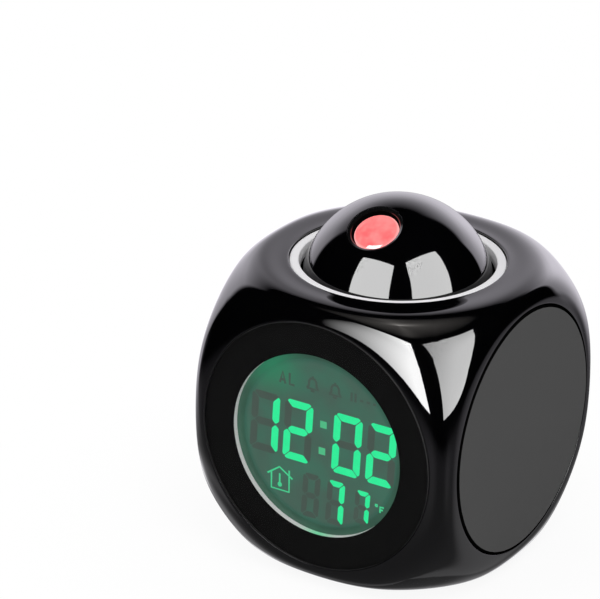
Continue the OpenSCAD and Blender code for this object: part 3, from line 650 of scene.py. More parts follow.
# %% Soft corners
most_of_side = 0.45                 # that a soft corner may take


def bent(start, corner, end, shares):
    """Points of the soft curve that stands for a corner."""
    return [(1 - t) ** 2 * start + 2 * t * (1 - t) * corner + t * t * end for t in shares]


def softened(outline, radius, steps=4):
    """The open outline with each inner corner replaced by a short arc."""
    points = [np.asarray(p, float) for p in outline]
    result = [points[0]]
    for before, corner, after in zip(points, points[1:], points[2:]):
        sides = before - corner, after - corner
        reach = min(radius, *(np.linalg.norm(side) * most_of_side for side in sides))
        start, end = (corner + side / max(np.linalg.norm(side), 1e-9) * reach for side in sides)
        # a holding point beside each end keeps the flat beside the arc flat
        result.append(start + (start - corner) * 0.1)
        result += bent(start, corner, end, np.linspace(0, 1, steps + 1))
        result.append(end + (end - corner) * 0.1)
    result.append(points[-1])
    return result


# %% Sheets of points
def sheet(points, closed_u=False):
    """Vertices and quads of a grid of points[row][column]; closed_u joins its last column."""
    points = np.asarray(points, float)
    rows, columns = points.shape[:2]
    faces = []
    for r in range(rows - 1):
        for c in range(columns if closed_u else columns - 1):
            d = (c + 1) % columns
            here, next_row = r * columns, (r + 1) * columns
            faces.append((here + c, here + d, next_row + d, next_row + c))
    return points.reshape(-1, 3), faces


def lathe(outline, matrix, steps=128):
    turns = np.linspace(0, 2 * math.pi, steps, endpoint=False)
    rows = [[(r * math.cos(t), r * math.sin(t), h) for t in turns] for r, h in outline]
    return sheet(placed(matrix, rows), closed_u=True)


def plate(outline, matrix, low, high):
    """Flat piece with a convex or plain outline of (x, y), from low to high."""
    n = len(outline)
    points = [(x, y, z) for z in (low, high) for x, y in outline]
    faces = [tuple(range(n))[::-1], tuple(range(n, 2 * n))]
    faces += [(i, (i + 1) % n, n + (i + 1) % n, n + i) for i in range(n)]
    return placed(matrix, points), faces


def joined(sheets):
    """One list of points and one of faces, from several sheets."""
    points, faces, offset = [], [], 0
    for some_points, some_faces in sheets:
        points.append(some_points)
        faces += [tuple(i + offset for i in face) for face in some_faces]
        offset += len(some_points)
    return np.concatenate(points), faces


# %% From sheets to a mesh
merge_distance = 2e-6               # metres


def make_mesh(name, sheets, sharp=35, recalculate=True):
    """A mesh object in metres, with doubles merged and faces turned outwards."""
    points, faces = joined(sheets)
    mesh = bpy.data.meshes.new(name)
    mesh.from_pydata((points * MM).tolist(), [], faces)
    work = bmesh.new()
    work.from_mesh(mesh)
    bmesh.ops.remove_doubles(work, verts=work.verts, dist=merge_distance)
    bmesh.ops.dissolve_degenerate(work, edges=work.edges, dist=1e-7)
    if recalculate:
        bmesh.ops.recalc_face_normals(work, faces=work.faces)
    work.to_mesh(mesh)
    work.free()
    mesh.shade_smooth()
    mesh.set_sharp_from_angle(angle=math.radians(sharp))
    piece = add_object(name, mesh)
    return piece


# %% Two finishes on one piece, and what a piece stands for
def mark_faces(mesh, matrix, chosen):
    """Faces chosen by their radius and height in a frame take the second material."""
    middles = np.array([tuple(p.center) for p in mesh.polygons]) / MM
    local = (middles - matrix[:3, 3]) @ matrix[:3, :3]
    marks = np.array([p.material_index for p in mesh.polygons])
    marks[chosen(np.hypot(local[:, 0], local[:, 1]), local[:, 2])] = 1
    mesh.polygons.foreach_set("material_index", marks)


def finish_piece(piece, material, body, replaces=()):
    """Gives a piece its material and says what it rides on and stands for."""
    if not piece.data.materials:
        piece.data.materials.append(material)
    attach(piece, body)
    if replaces:
        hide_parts(*replaces)
    return piece


# %% [markdown]
# ## Finishes
# Each finish has what a moulder or a toolmaker would see in it: gloss that is faintly uneven,
# matt black with spark texture, white that turns a little warm, soft rubber. Pictures
# of such surfaces would need a map on every piece, so noise on the piece's own coordinates
# gives the texture. It stays in place when the piece moves.

# %% Plastics
def plastic(name, colour, roughness, grain=0, grain_depth=0, coat=0.0, ior=1.5, mottle=0.06,
            specular=0.5):
    """Moulded plastic: grain is the size of its surface texture in metres."""
    material, net, surface = new_material(name)
    place = net.object_place()
    cloud = net.noise(place, 60)["Fac"]
    darker = tuple(c * (1 - mottle) for c in colour)
    lighter = tuple(min(1, c * (1 + mottle)) for c in colour)
    shader = net.node("ShaderNodeBsdfPrincipled", sockets={
        "Base Color": net.blend(cloud, darker, lighter),
        "Roughness": roughness * (0.95 + cloud * 0.1),
        "IOR": ior, "Specular IOR Level": specular, "Coat Weight": coat})
    if grain:
        texture = net.noise(place, 1 / grain, detail=4)["Fac"]
        net.feed(shader.node.inputs["Normal"], net.bump(texture, grain_depth))
    net.feed(surface, shader)
    return material


# %% The clock's plastics
gloss_black = plastic("gloss_black", (0.0006, 0.0006, 0.0008), 0.035, ior=1.6)
matt_black = plastic("matt_black", (0.018, 0.018, 0.019), 0.55, grain=0.0005, grain_depth=0.00004)
border_black = plastic("border_black", (0.0062, 0.0062, 0.0062), 0.6, mottle=0.03, specular=0.0)
lip_black = plastic("lip_black", (0.004, 0.004, 0.0042), 0.12, ior=1.75)
# painted shade: the cradle is made near black, so that the gap between the ring and the ball reads
# dark
deep_black = plastic("deep_black", (0.003, 0.003, 0.0032), 0.5, grain=0.0005,
                     grain_depth=0.00001, specular=0.08)
# painted shade: black without any gloss, put on walls, grooves and hollows that lie in shade
painted_shade_black = plastic("painted_shade_black", (0.0015, 0.0015, 0.0015), 0.7, specular=0.0)
disc_grey = plastic("disc_grey", (0.0805, 0.0805, 0.0805), 0.75, grain=0.0003,
                    grain_depth=0.00001, mottle=0.015)
ring_white = plastic("ring_white", (0.95, 0.94, 0.96), 0.3, grain=0.0006,
                     grain_depth=0.00001, mottle=0.01)
dark_plastic = plastic("dark_plastic", (0.02, 0.02, 0.021), 0.45, grain=0.0006, grain_depth=0.00002)
grey_plastic = plastic("grey_plastic", (0.11, 0.11, 0.12), 0.5, grain=0.0006, grain_depth=0.00003)
soft_rubber = plastic("soft_rubber", (0.016, 0.016, 0.016), 0.8, grain=0.0004, grain_depth=0.00003)
print(len(bpy.data.materials), "materials")

# %% [markdown]
# ## The housing
# The body is a cube cut down by a sphere, with a soft blend between the two. One rule gives
# it: along each direction from the centre, the skin lies where the cube's and the sphere's
# terms add up to one. Cutting a cube with a sphere would leave a crease that needs a bevel.
# Here a Geometry Nodes tree applies the rule to a sheet of directions, so the same tree
# makes the skin and, with smaller sizes, the inside of the wall.

# %% The skin's rule
wall = 2.8
skin_blend = 27.2                   # the higher, the sharper the edge of cube and sphere
edge_cut = 0.56                     # of the cube's upright edges by the sphere
round_radius = HALF * math.sqrt(2) - edge_cut


def skin_reach(directions, half, radius):
    """Distance from the centre to the skin, along unit directions."""
    cube = (np.abs(directions) / half) ** skin_blend
    return (cube.sum(-1) + (1 / radius) ** skin_blend) ** (-1 / skin_blend)


# %% The same rule as a node tree
def skin_tree():
    tree, net, given = new_geometry_tree("rounded_cube_skin", {
        "Directions": "Geometry", "Half width": "Float", "Rounding radius": "Float",
        "Blend": "Float", "Centre": "Vector", "Material": "Material"}, "Skin")
    direction = net.node("GeometryNodeInputPosition")
    size = net.node("ShaderNodeVectorMath", {"operation": "ABSOLUTE"}, {0: direction})
    axes = net.split(size)
    blend, half = given["Blend"], given["Half width"]
    # lengths are taken as shares of the half width, as such powers of metres would overflow
    cube = sum(axes[axis] ** blend for axis in ("X", "Y", "Z"))
    ball = (half / given["Rounding radius"]) ** blend
    reach = half * (cube + ball) ** (-1 / blend)
    scaled = net.node("ShaderNodeVectorMath", {"operation": "SCALE"},
                      {0: direction, "Scale": reach})
    moved = net.node("ShaderNodeVectorMath", {"operation": "ADD"},
                     {0: scaled, 1: given["Centre"]})
    skin = net.node("GeometryNodeSetPosition", sockets={
        "Geometry": given["Directions"], "Position": moved})
    close_geometry_tree(net, skin, given["Material"])
    return tree


body_skin_tree = skin_tree()
print("skin tree of", len(body_skin_tree.nodes), "nodes")


# %% A tree's result as a plain mesh
def applied(name, base, tree, values):
    """The mesh that a geometry tree makes of a base object, as a new object."""
    modifier = base.modifiers.new("tree", "NODES")
    modifier.node_group = tree
    for item in tree.interface.items_tree:
        if item.in_out == "INPUT" and item.name in values:
            modifier[item.identifier] = values[item.name]
    bpy.context.view_layer.update()
    evaluated = base.evaluated_get(bpy.context.evaluated_depsgraph_get())
    mesh = bpy.data.meshes.new_from_object(evaluated)
    mesh.name = name
    base.modifiers.clear()
    bpy.data.objects.remove(base)
    return add_object(name, mesh)


# %% Directions round one face
around_count, out_count, inside_count = 240, 30, 6
widest_rim = 0.9                    # radians from a face's axis
halvings = 40


def rim_angle(turns, half, radius, hole):
    """Angle from a face's axis at which the skin has the hole's radius, by halving."""
    low, high = np.zeros_like(turns), np.full_like(turns, widest_rim)
    for _ in range(halvings):
        middle = (low + high) / 2
        way = polar(middle, turns)
        wide = skin_reach(way, half, radius) * np.sin(middle) > hole
        low, high = np.where(wide, low, middle), np.where(wide, middle, high)
    return (low + high) / 2


def polar(angle, turns):
    """Unit directions at an angle from an axis and a turn round it, in radians."""
    across = np.sin(angle)
    return np.stack([across * np.cos(turns), across * np.sin(turns), np.cos(angle)], -1)


def face_directions(half, radius, hole, rows):
    """Rows of unit directions from a hole's rim to the edges shared with the next faces."""
    turns = np.arange(around_count) * 2 * math.pi / around_count
    edge = np.arctan(1 / np.maximum(np.abs(np.cos(turns)), np.abs(np.sin(turns))))
    rim = rim_angle(turns, half, radius, hole) if hole else np.zeros_like(turns)
    shares = np.linspace(0, 1, rows + 1)[:, None]
    return polar(rim + (edge - rim) * shares, turns), turns


# %% The openings
front_hole, side_hole, rear_hole, top_hole, base_hole = 34.75, 34.1, 33.7, 28.85, 35.1
panel_seat = 36.0                   # radius behind which the rear and base panels are screwed

# frame, the opening's radius, how far its edge is rounded off, its outline inwards as
# (radius, height), and the radius of the hole in the inner wall
openings = [
    (FRONT, front_hole, 0.2, [(front_hole, 38.9), (32.3, 38.9)], 32.3),
    (RIGHT, side_hole, 0.12, [(side_hole, 38.4), (0, 38.4)], 0),
    (LEFT, side_hole, 0.12, [(side_hole, 38.4), (0, 38.4)], 0),
    (REAR, rear_hole, 0.3, [(rear_hole, 37.2), (30.1, 37.2), (30.1, 34.8), (panel_seat, 34.8)],
     panel_seat),
    (TOP, top_hole, 0.12, [], top_hole),
    (BASE, base_hole, 0.4, [(base_hole, 37.6), (31.9, 37.6), (31.9, 35.2), (panel_seat, 35.2)],
     panel_seat),
]


# %% Skin and rims
def turned(matrix, vectors):
    return np.asarray(vectors) @ matrix[:3, :3].T


def skin_piece(name, half, radius, holes, rows):
    sheets = []
    for matrix, hole in holes:
        ways, _ = face_directions(half, radius, hole, rows)
        points, faces = sheet(turned(matrix, ways), closed_u=True)
        sheets.append((points / MM, faces))
    base = make_mesh(name + "_directions", sheets, recalculate=False)
    values = {"Half width": half * MM, "Rounding radius": radius * MM, "Blend": skin_blend,
              "Centre": tuple(CENTRE * MM), "Material": gloss_black}
    return applied(name, base, body_skin_tree, values)


def rim_sheet(matrix, hole, edge_break, outline, inner_hole):
    """Rounded edge of an opening, its walls and ledges, down to the inner wall."""
    ways, turns = face_directions(HALF, round_radius, hole + edge_break, 1)
    start = ways[0] * skin_reach(ways[0], HALF, round_radius)[:, None]

    def circle_row(radius, heights):
        return np.stack([radius * np.cos(turns), radius * np.sin(turns),
                         heights + np.zeros_like(turns)], -1)

    rows = [start]
    for angle in np.linspace(0, 1, 5)[1:] * math.pi / 2:
        radius = hole + edge_break * (1 - math.sin(angle))
        rows.append(circle_row(radius, start[:, 2] - edge_break * (1 - math.cos(angle))))
    rows += [circle_row(radius, height) for radius, height in outline]
    if inner_hole:
        inner, _ = face_directions(HALF - wall, round_radius - wall, inner_hole, 1)
        rows.append(inner[0] * skin_reach(inner[0], HALF - wall, round_radius - wall)[:, None])
    return sheet(placed(matrix, np.array(rows)), closed_u=True)


# %% The dished top
dish_depth = 0.6                    # of the flat top, at the ring
dish_start, dish_run = 39, 9        # radius at which it starts, and how far it runs inwards
skin_only = CENTRE[2] + HALF - wall + 0.8       # the wall's underside lies below this height


def dished(points):
    """The flat top sinks a little towards the ring."""
    points = np.array(points, float)
    radius = np.hypot(points[:, 0], points[:, 1])
    share = np.clip((dish_start - radius) / dish_run, 0, 1)
    skin = points[:, 2] > skin_only
    points[:, 2] -= np.where(skin, dish_depth * share ** 2 * (3 - 2 * share), 0)
    return points


# %% The housing in one mesh
recess_height = 34.5                # from the centre; below it a rim is inside the housing


def make_housing():
    outer = skin_piece("skin", HALF, round_radius,
                       [(m, hole + edge) for m, hole, edge, _, _ in openings], out_count)
    inner = skin_piece("inside", HALF - wall, round_radius - wall,
                       [(m, inside) for m, _, _, _, inside in openings], inside_count)
    sheets = [rim_sheet(*opening) for opening in openings]
    for part in (outer, inner):
        points = np.array([v.co for v in part.data.vertices]) / MM
        sheets.append((points, [tuple(p.vertices) for p in part.data.polygons]))
        bpy.data.objects.remove(part)
    sheets = [(dished(points), faces) for points, faces in sheets]
    housing = make_mesh("housing_shell", sheets, sharp=40)
    housing.data.materials.append(gloss_black)
    housing.data.materials.append(painted_shade_black)
    # painted shade: the walls and ledges inside the openings take the second material, black
    # without gloss, as the grooves lie in shade
    for matrix, hole, _, outline, _ in openings:
        if outline:
            mark_faces(housing.data, matrix, lambda radius, height:
                       (radius < hole + 0.03) & (height > recess_height))
    return finish_piece(housing, gloss_black, "case", ["housing"])


housing = make_housing()
print("housing", len(housing.data.polygons), "faces")

# %% [markdown]
# ## The projector ball
# Two half shells turn together in the cradle. A sphere with a hole cut by a Boolean would do
# for the upper one, but it leaves uneven faces round the hole, which gloss shows. So its
# grid runs round the lens's axis, from the hole's rim to the plane where the halves meet.

# %% Where the ball is
ball_low, ball_high = box_mm("ball_upper_shell")
BALL = np.array([0, 0, ball_low[2]])
ball_r = ball_high[2] - ball_low[2]
ball_wall = 1.8
lens_tilt = math.radians(29)        # towards the front
lens_hole = 7.65
LENS = np.array(Matrix.Translation(Vector(BALL)) @ Matrix.Rotation(lens_tilt, 4, "X"))
print("ball of radius", round(ball_r, 2))

# %% Upper shell
shell_turns, shell_rows = 192, 61
lip_drop = 0.05                     # by which the hole's edge is broken


def make_upper_shell():
    turns = np.arange(shell_turns) * 2 * math.pi / shell_turns
    # the angle from the lens's axis at which the shell reaches the plane of the split
    split = np.arctan2(math.cos(lens_tilt), -np.sin(turns) * math.sin(lens_tilt))
    sheets, rims = [], []
    for radius in (ball_r, ball_r - ball_wall):
        start = math.asin((lens_hole + (lip_drop if radius == ball_r else 0)) / radius)
        shares = np.linspace(0, 1, shell_rows)[:, None]
        ways = polar(start + (split - start) * shares, turns)
        points = placed(LENS, ways * radius)
        sheets.append(sheet(points, closed_u=True))
        rims.append((points[0], points[-1]))
    lip_height = math.sqrt(ball_r ** 2 - lens_hole ** 2) - lip_drop
    lip = placed(LENS, [(lens_hole * math.cos(t), lens_hole * math.sin(t), lip_height)
                        for t in turns])
    sheets.append(sheet([rims[0][0], lip, rims[1][0]], closed_u=True))
    sheets.append(sheet([rims[0][1], rims[1][1]], closed_u=True))
    shell = make_mesh("ball_top_shell", sheets, sharp=40)
    shell.data.materials.append(gloss_black)
    shell.data.materials.append(painted_shade_black)
    # painted shade: the broken edge of the lens's hole takes the black without gloss, so that it
    # catches no highlight
    mark_faces(shell.data, LENS, lambda radius, height:
               (radius < lens_hole + 0.04) & (height > 0))
    return finish_piece(shell, gloss_black, "ball", ["ball_upper_shell"])


upper_shell = make_upper_shell()

# %% Lower shell
def make_lower_shell():
    angles = np.linspace(math.pi / 2, math.pi, 40)
    outer = [(ball_r * math.sin(a), ball_r * math.cos(a)) for a in angles]
    inner_r = ball_r - ball_wall
    inner = [(inner_r * math.sin(a), inner_r * math.cos(a)) for a in angles[::-1]]
    matrix = np.array(Matrix.Translation(Vector(BALL)))
    sheets = [lathe(outer + inner + outer[:1], matrix, 160)]
    shell = make_mesh("ball_bottom_shell", sheets, sharp=40)
    return finish_piece(shell, gloss_black, "ball", ["ball_lower_shell"])


lower_shell = make_lower_shell()
print("two half shells")

# %% [markdown]
# ## Lens and barrel
# A red lamp shines through a film of digits and a lens of pale red plastic. The lens sits in a
# black barrel whose lip catches a thin line of light. A lit lens could be clear and show a
# real lamp behind it, but at this size it is only a glowing, slightly uneven face.

# %% Lens barrel
lens_r = 6.0
lens_seat, lens_edge, lens_crown = 20.6, 22.95, 24.15       # heights over the ball's centre
barrel_r, barrel_bore, rear_bore = 7.6, 5.2, 6.05
bore_step = 12.5                    # height at which the wider rear bore ends


def make_barrel():
    mouth = math.sqrt(ball_r ** 2 - barrel_r ** 2)
    pocket = lens_r + 0.05
    outline = softened([
        (barrel_bore, bore_step), (barrel_bore, lens_seat), (pocket, lens_seat),
        (pocket, lens_edge - 0.3), (6.45, mouth - 0.75), (6.7, mouth - 0.32),
        (7.45, mouth + 0.03), (barrel_r, mouth - 0.15), (barrel_r, 0), (rear_bore, 0),
        (rear_bore, bore_step), (barrel_bore, bore_step)], 0.12)
    barrel = make_mesh("lens_tube", [lathe(outline, LENS, 128)])
    # the barrel is black, and its inside takes the black without gloss: its own colour with painted
    # shade, so that it reads as a dark hole; only the lip keeps a gloss
    barrel.data.materials.append(painted_shade_black)
    barrel.data.materials.append(lip_black)
    mark_faces(barrel.data, LENS, lambda radius, height: height > mouth - 0.6)
    return finish_piece(barrel, painted_shade_black, "ball", ["lens_barrel"])


barrel = make_barrel()

# %% Lit lens
def lens_radius(net):
    """Distance from the lens's axis, in millimetres."""
    axis = LENS[:3, 2]
    from_ball = net.node("ShaderNodeVectorMath", {"operation": "SUBTRACT"}, {
        0: net.object_place(), 1: tuple(np.array(BALL) * MM)})
    aside = net.node("ShaderNodeVectorMath", {"operation": "CROSS_PRODUCT"},
                     {0: from_ball, 1: tuple(axis)})
    length = net.node("ShaderNodeVectorMath", {"operation": "LENGTH"}, {0: aside})
    return length["Value"] / MM


def lens_glass():
    """Pale red lens, lit from behind by the lamp, with uneven light in it."""
    material, net, surface = new_material("lens_glass")
    place = net.object_place()
    cloud = net.noise(place, 230, detail=2)["Fac"].step(0.25, 0.75)
    streak = net.noise(place, 600, detail=1)["Fac"].step(0.35, 0.75)
    warm = net.blend(cloud, srgb(252, 100, 104), srgb(255, 128, 127))
    glow = net.blend(streak * 0.25, warm, srgb(255, 158, 152))
    # painted light: the lens's edge glows paler, a thin light line along its rim
    glow = net.blend(lens_radius(net).step(5.3, 5.95) * 0.85, glow, srgb(255, 186, 184))
    shader = net.node("ShaderNodeBsdfPrincipled", sockets={
        "Base Color": net.blend(cloud, (0.35, 0.03, 0.03), (0.5, 0.08, 0.08)),
        "Roughness": 0.06, "IOR": 1.8, "Emission Color": glow, "Emission Strength": 0.92})
    net.feed(surface, shader)
    return material


# %% The lens itself
def make_lens():
    # nearly flat in the middle and rounder towards the edge, as such cheap lenses are
    rise = lens_crown - lens_edge
    top = [(r, lens_crown - rise * (0.33 * (r / lens_r) ** 2 + 0.67 * (r / lens_r) ** 8))
           for r in lens_r * np.sin(np.linspace(0, math.pi / 2, 26))]
    outline = top + [(lens_r, lens_seat), (0, lens_seat)]
    lens = make_mesh("lens_crown", [lathe(outline, LENS, 96)])
    return finish_piece(lens, lens_glass(), "ball", ["projector_lens"])


lens = make_lens()
print("lens of radius", lens_r)

# %% [markdown]
# ## The white ring and the side discs
# Plain turned shapes. The ring's flat band catches the light, its inner slope goes down
# towards the ball, and a wider flange below is screwed to the housing. A Screw modifier on a
# drawn profile gives the same, but the outline softens its corners in the same step.

# %% Ring
_, ring_high = box_mm("top_ring")
ring_sunk = 0.3                     # with the dished top
ring_top = ring_high[2] - CENTRE[2] - ring_sunk
flange_top, flange_bottom = ring_top - 1.6, ring_top - 3.0
ring_r, ring_inner, flange_r = 28.6, 25.7, 33.2
ring_outline = [
    (ring_r, flange_top), (ring_r, ring_top), (26.2, ring_top), (25.75, ring_top - 1.5),
    (ring_inner, flange_bottom), (flange_r, flange_bottom), (flange_r, flange_top),
    (ring_r, flange_top)]
ring = make_mesh("ball_ring", [lathe(softened(ring_outline, 0.25), TOP, 192)])
finish_piece(ring, ring_white, "case", ["top_ring"])
print("ring of radius", ring_r)

# %% Side discs
disc_r = (side_high[1] - side_low[1]) / 2
disc_t = side_high[0] - side_low[0]
disc_break = 0.42                   # width of the sloping edge, which takes the painted shade black
disc_outline = [(0, HALF), (disc_r - disc_break, HALF), (disc_r, HALF - 0.8),
                (disc_r, HALF - disc_t), (0, HALF - disc_t)]
for side, matrix in (("right", RIGHT), ("left", LEFT)):
    disc = make_mesh("grey_disc_" + side, [lathe(softened(disc_outline, 0.06), matrix, 192)])
    disc.data.materials.append(disc_grey)
    disc.data.materials.append(painted_shade_black)
    # painted shade: the sloping edge takes the black without gloss, as the groove round the disc
    # lies in shade
    mark_faces(disc.data, matrix, lambda radius, height: radius > disc_r - disc_break - 0.02)
    finish_piece(disc, disc_grey, "case", ["side_disc_" + side])
print("discs of radius", round(disc_r, 2))

# %% [markdown]
# ## The front: clear cover, frame and display
# A clear disc lies over a black border, and through the round window the display shows. Real
# clear plastic bends light, which a transmission shader can do, but in a thin cover the bend
# is hardly seen and costs much noise. So the cover is see-through, with its gloss growing
# towards grazing angles. Behind the border a white frame leads down to the display's glass.

# %% Clear cover
cover_low, cover_high = box_mm("front_cover")
cover_r = (cover_high[0] - cover_low[0]) / 2
cover_front, cover_back = -cover_low[1], -cover_high[1]


def clear_plastic():
    material, net, surface = new_material("clear_plastic")
    facing = net.node("ShaderNodeLayerWeight", sockets={"Blend": 0.5})["Facing"]
    haze = net.noise(net.object_place(), 40, detail=2)["Fac"]
    shader = net.node("ShaderNodeBsdfPrincipled", sockets={
        "Base Color": (0.3, 0.3, 0.3), "Metallic": 1.0, "Roughness": 0.02 + haze * 0.02,
        "Alpha": 0.01 + facing ** 5})
    net.feed(surface, shader)
    return material


film = 0.02                         # of air between the cover and the border behind it
cover_outline = [(0, cover_front), (cover_r - 0.12, cover_front), (cover_r, cover_front - 0.12),
                 (cover_r, cover_back + film), (0, cover_back + film)]
cover = make_mesh("clear_front", [lathe(softened(cover_outline, 0.03), FRONT, 192)])
cover.data.materials.append(clear_plastic())
cover.data.materials.append(plastic("cut_edge_shade", (0.013, 0.013, 0.0135), 0.6, specular=0.1))
# the cut edge of the clear disc is dull and dark: painted shade, as it stands in the housing's
# recess
mark_faces(cover.data, FRONT, lambda radius, height: radius > cover_r - 0.11)
finish_piece(cover, None, "case", ["front_cover"])

# %% White frame round the window
def frame_white():
    """Satin white with painted light: a faint glow all over, and green where the display's light
    falls on its foot.
    """
    material, net, surface = new_material("frame_white")
    place = net.split(net.object_place())
    low = (place["Z"] / MM - CENTRE[2]).step(-23.5, -25.2)
    glow = low * bump_of(place["X"] / MM, 0.5, 4) * 0.8
    cloud = net.noise(net.object_place(), 300)["Fac"]
    white = net.blend(cloud, (0.83, 0.81, 0.82), (0.88, 0.86, 0.87))
    shader = net.node("ShaderNodeBsdfPrincipled", sockets={
        "Base Color": net.blend(glow, white, (0.1, 0.4, 0.2)), "Roughness": 0.3,
        "Emission Color": net.blend(glow, (0.07, 0.065, 0.065), (0.05, 0.4, 0.2)),
        "Emission Strength": 1.0})
    net.feed(surface, shader)
    return material


# %% Display background
display_front = -box_mm("lcd_glass")[0][1]
image_at = np.array([0.24, 0.22])   # the image's middle, from the window's
active_r = 23.4                     # radius of the display's printed ring
lamp_at = (-0.0155, 0.019)          # metres from the image's middle


def lcd_background():
    """Grey-green glass with a printed ring, lit from behind."""
    material, net, surface = new_material("lcd_background")
    place = net.split(net.object_place())
    x = place["X"] - image_at[0] * MM
    z = place["Z"] - (CENTRE[2] + image_at[1]) * MM
    away = (x * x + z * z) ** 0.5 / MM
    inside = away.step(active_r + 0.35, active_r - 0.05)
    ring_line = (away.step(active_r - 1.1, active_r - 0.2)
                 * away.step(active_r + 0.6, active_r + 0.1))
    # brighter where the lamp sits behind the upper left
    lamp_x, lamp_z = x - lamp_at[0], z - lamp_at[1]
    from_lamp = (lamp_x * lamp_x + lamp_z * lamp_z) ** 0.5 / MM
    glow = from_lamp.step(13, 0)
    cloud = net.noise(net.object_place(), 110, detail=2)["Fac"].step(0.3, 0.7)
    face = net.blend(cloud, srgb(68, 91, 81), srgb(62, 103, 87))
    outside = net.blend(cloud, srgb(48, 78, 65), srgb(52, 88, 72))
    colour = net.blend(inside, outside, face)
    colour = net.blend(glow * 0.85, colour, srgb(42, 126, 91))
    colour = net.blend(ring_line * 0.55 * (1 - glow * 0.7), colour, srgb(44, 88, 74))
    shader = net.node("ShaderNodeBsdfPrincipled", sockets={
        "Base Color": (0.01, 0.02, 0.015), "Roughness": 0.3, "Emission Color": colour,
        "Emission Strength": 1.0})
    net.feed(surface, shader)
    return material


# %% [markdown]
# ## Digits
# A digit is seven bars with mitred ends, a little slanted. Lit bars are bright green; unlit
# ones show faintly, as they do on any such display. They could be painted by the display's
# shader, but as thin plates on the glass they keep crisp edges and their place from any side.

# %% Bars of a digit
LIT = {"0": "abcdef", "1": "bc", "2": "abged", "7": "abc", "-": ""}
bar_thick = 0.03
bar_gap = 0.28                      # between bars that meet


def bar_outlines(width, height, stroke, gap):
    """Outlines of the seven bars round the digit's centre."""
    w, h, s, g = width / 2, height / 2, stroke, gap / 2
    cut = s * 0.5
    top = [(-w + cut + g, h), (w - cut - g, h), (w - cut / 2 - g, h - cut / 2), (w - s - g, h - s),
           (-w + s + g, h - s), (-w + cut / 2 + g, h - cut / 2)]
    upper_right = [(w, h - cut - g), (w, s * 0.4 + g), (w - cut, g), (w - s, cut + g),
                   (w - s, h - s - g), (w - cut / 2, h - cut / 2 - g)]
    middle = [(-w + cut + g, 0), (-w + s + g, cut), (w - s - g, cut), (w - cut - g, 0),
              (w - s - g, -cut), (-w + s + g, -cut)]

    def flipped(points, x_sign, z_sign):
        return [(x * x_sign, z * z_sign) for x, z in points]

    return {"a": top, "b": upper_right, "c": flipped(upper_right, 1, -1),
            "d": flipped(top, 1, -1), "e": flipped(upper_right, -1, -1),
            "f": flipped(upper_right, -1, 1), "g": middle}


def rounded(outline, radius):
    """A closed outline with its corners cut to short curves."""
    points = [np.array(p, float) for p in outline]
    result = []
    for before, corner, after in zip(points[-1:] + points, points, points[1:] + points[:1]):
        sides = before - corner, after - corner
        reach = min(radius, *(np.linalg.norm(side) * most_of_side for side in sides))
        start, end = (corner + side / np.linalg.norm(side) * reach for side in sides)
        result += [tuple(p) for p in bent(start, corner, end, (0, 0.33, 0.67, 1))]
    return result


def digit_bars(character, at, width, height, stroke, slant, lit=True):
    """Outlines of a digit's lit bars, or of its unlit ones."""
    bars = bar_outlines(width, height, stroke, bar_gap)
    wanted = [b for b in bars if (b in LIT[character]) == lit]
    shapes = [rounded(bars[b], stroke * 0.2) for b in wanted]
    return [[(at[0] + x + slant * z, at[1] + z) for x, z in shape] for shape in shapes]


# %% Plain outlines
def square(x, z, width, height):
    return [(x - width / 2, z - height / 2), (x + width / 2, z - height / 2),
            (x + width / 2, z + height / 2), (x - width / 2, z + height / 2)]


def circle(x, z, radius, count=20):
    turns = [2 * math.pi * i / count for i in range(count)]
    return [(x + radius * math.cos(t), z + radius * math.sin(t)) for t in turns]


# %% [markdown]
# ### Signs
# The display's small signs (an alarm's letters, two bells, a house with a thermometer, the
# degree sign) are drawn in thin lines. Text or curve objects with a bevel could make them. A
# Geometry Nodes tree that sweeps a flat section along a mesh's edges serves for all of them.

# %% A tree that draws lines
def line_tree():
    """Flat strokes along the edges of a mesh that lies in the plane z = 0."""
    tree, net, given = new_geometry_tree("drawn_lines", {
        "Paths": "Geometry", "Width": "Float", "Thickness": "Float", "Material": "Material"},
        "Strokes")
    paths = net.node("GeometryNodeMeshToCurve", sockets={"Mesh": given["Paths"]})
    section = net.node("GeometryNodeCurvePrimitiveQuadrilateral", {"mode": "RECTANGLE"}, {
        "Width": given["Width"], "Height": given["Thickness"]})
    strokes = net.node("GeometryNodeCurveToMesh", sockets={
        "Curve": paths, "Profile Curve": section, "Fill Caps": True})
    close_geometry_tree(net, strokes, given["Material"])
    return tree


stroke_tree = line_tree()


# %% Lines on the display
def drawn(lines, stroke, material, low):
    """Sheet of strokes along lines of (x, z) points, on the display."""
    points, edges = [], []
    for line in lines:
        edges += [(len(points) + i, len(points) + i + 1) for i in range(len(line) - 1)]
        points += [((x + image_at[0]) * MM, (z + image_at[1]) * MM, 0) for x, z in line]
    mesh = bpy.data.meshes.new("paths")
    mesh.from_pydata(points, edges, [])
    base = add_object("paths", mesh)
    made = applied("strokes", base, stroke_tree, {
        "Width": stroke * MM, "Thickness": bar_thick * MM, "Material": material})
    flat = np.array([v.co for v in made.data.vertices]) / MM + (0, 0, low + bar_thick / 2)
    faces = [tuple(p.vertices) for p in made.data.polygons]
    bpy.data.objects.remove(made)
    return placed(FRONT, flat), faces


# %% What the display shows
time_digits = [("1", -17.15), ("2", -6.86), ("0", 8.26), ("2", 18.68)]
time_size = dict(width=8.7, height=17.4, stroke=2.12, slant=0.051)
time_z = 1.65
degree_digits = [
    ("-", (-2.6, -15.95), dict(width=5.4, height=12.8, stroke=1.66, slant=0.06)),
    ("7", (4.96, -15.95), dict(width=5.4, height=12.8, stroke=1.66, slant=0.06)),
    ("7", (13.18, -14.9), dict(width=4.5, height=9.6, stroke=1.4, slant=0.07)),
]


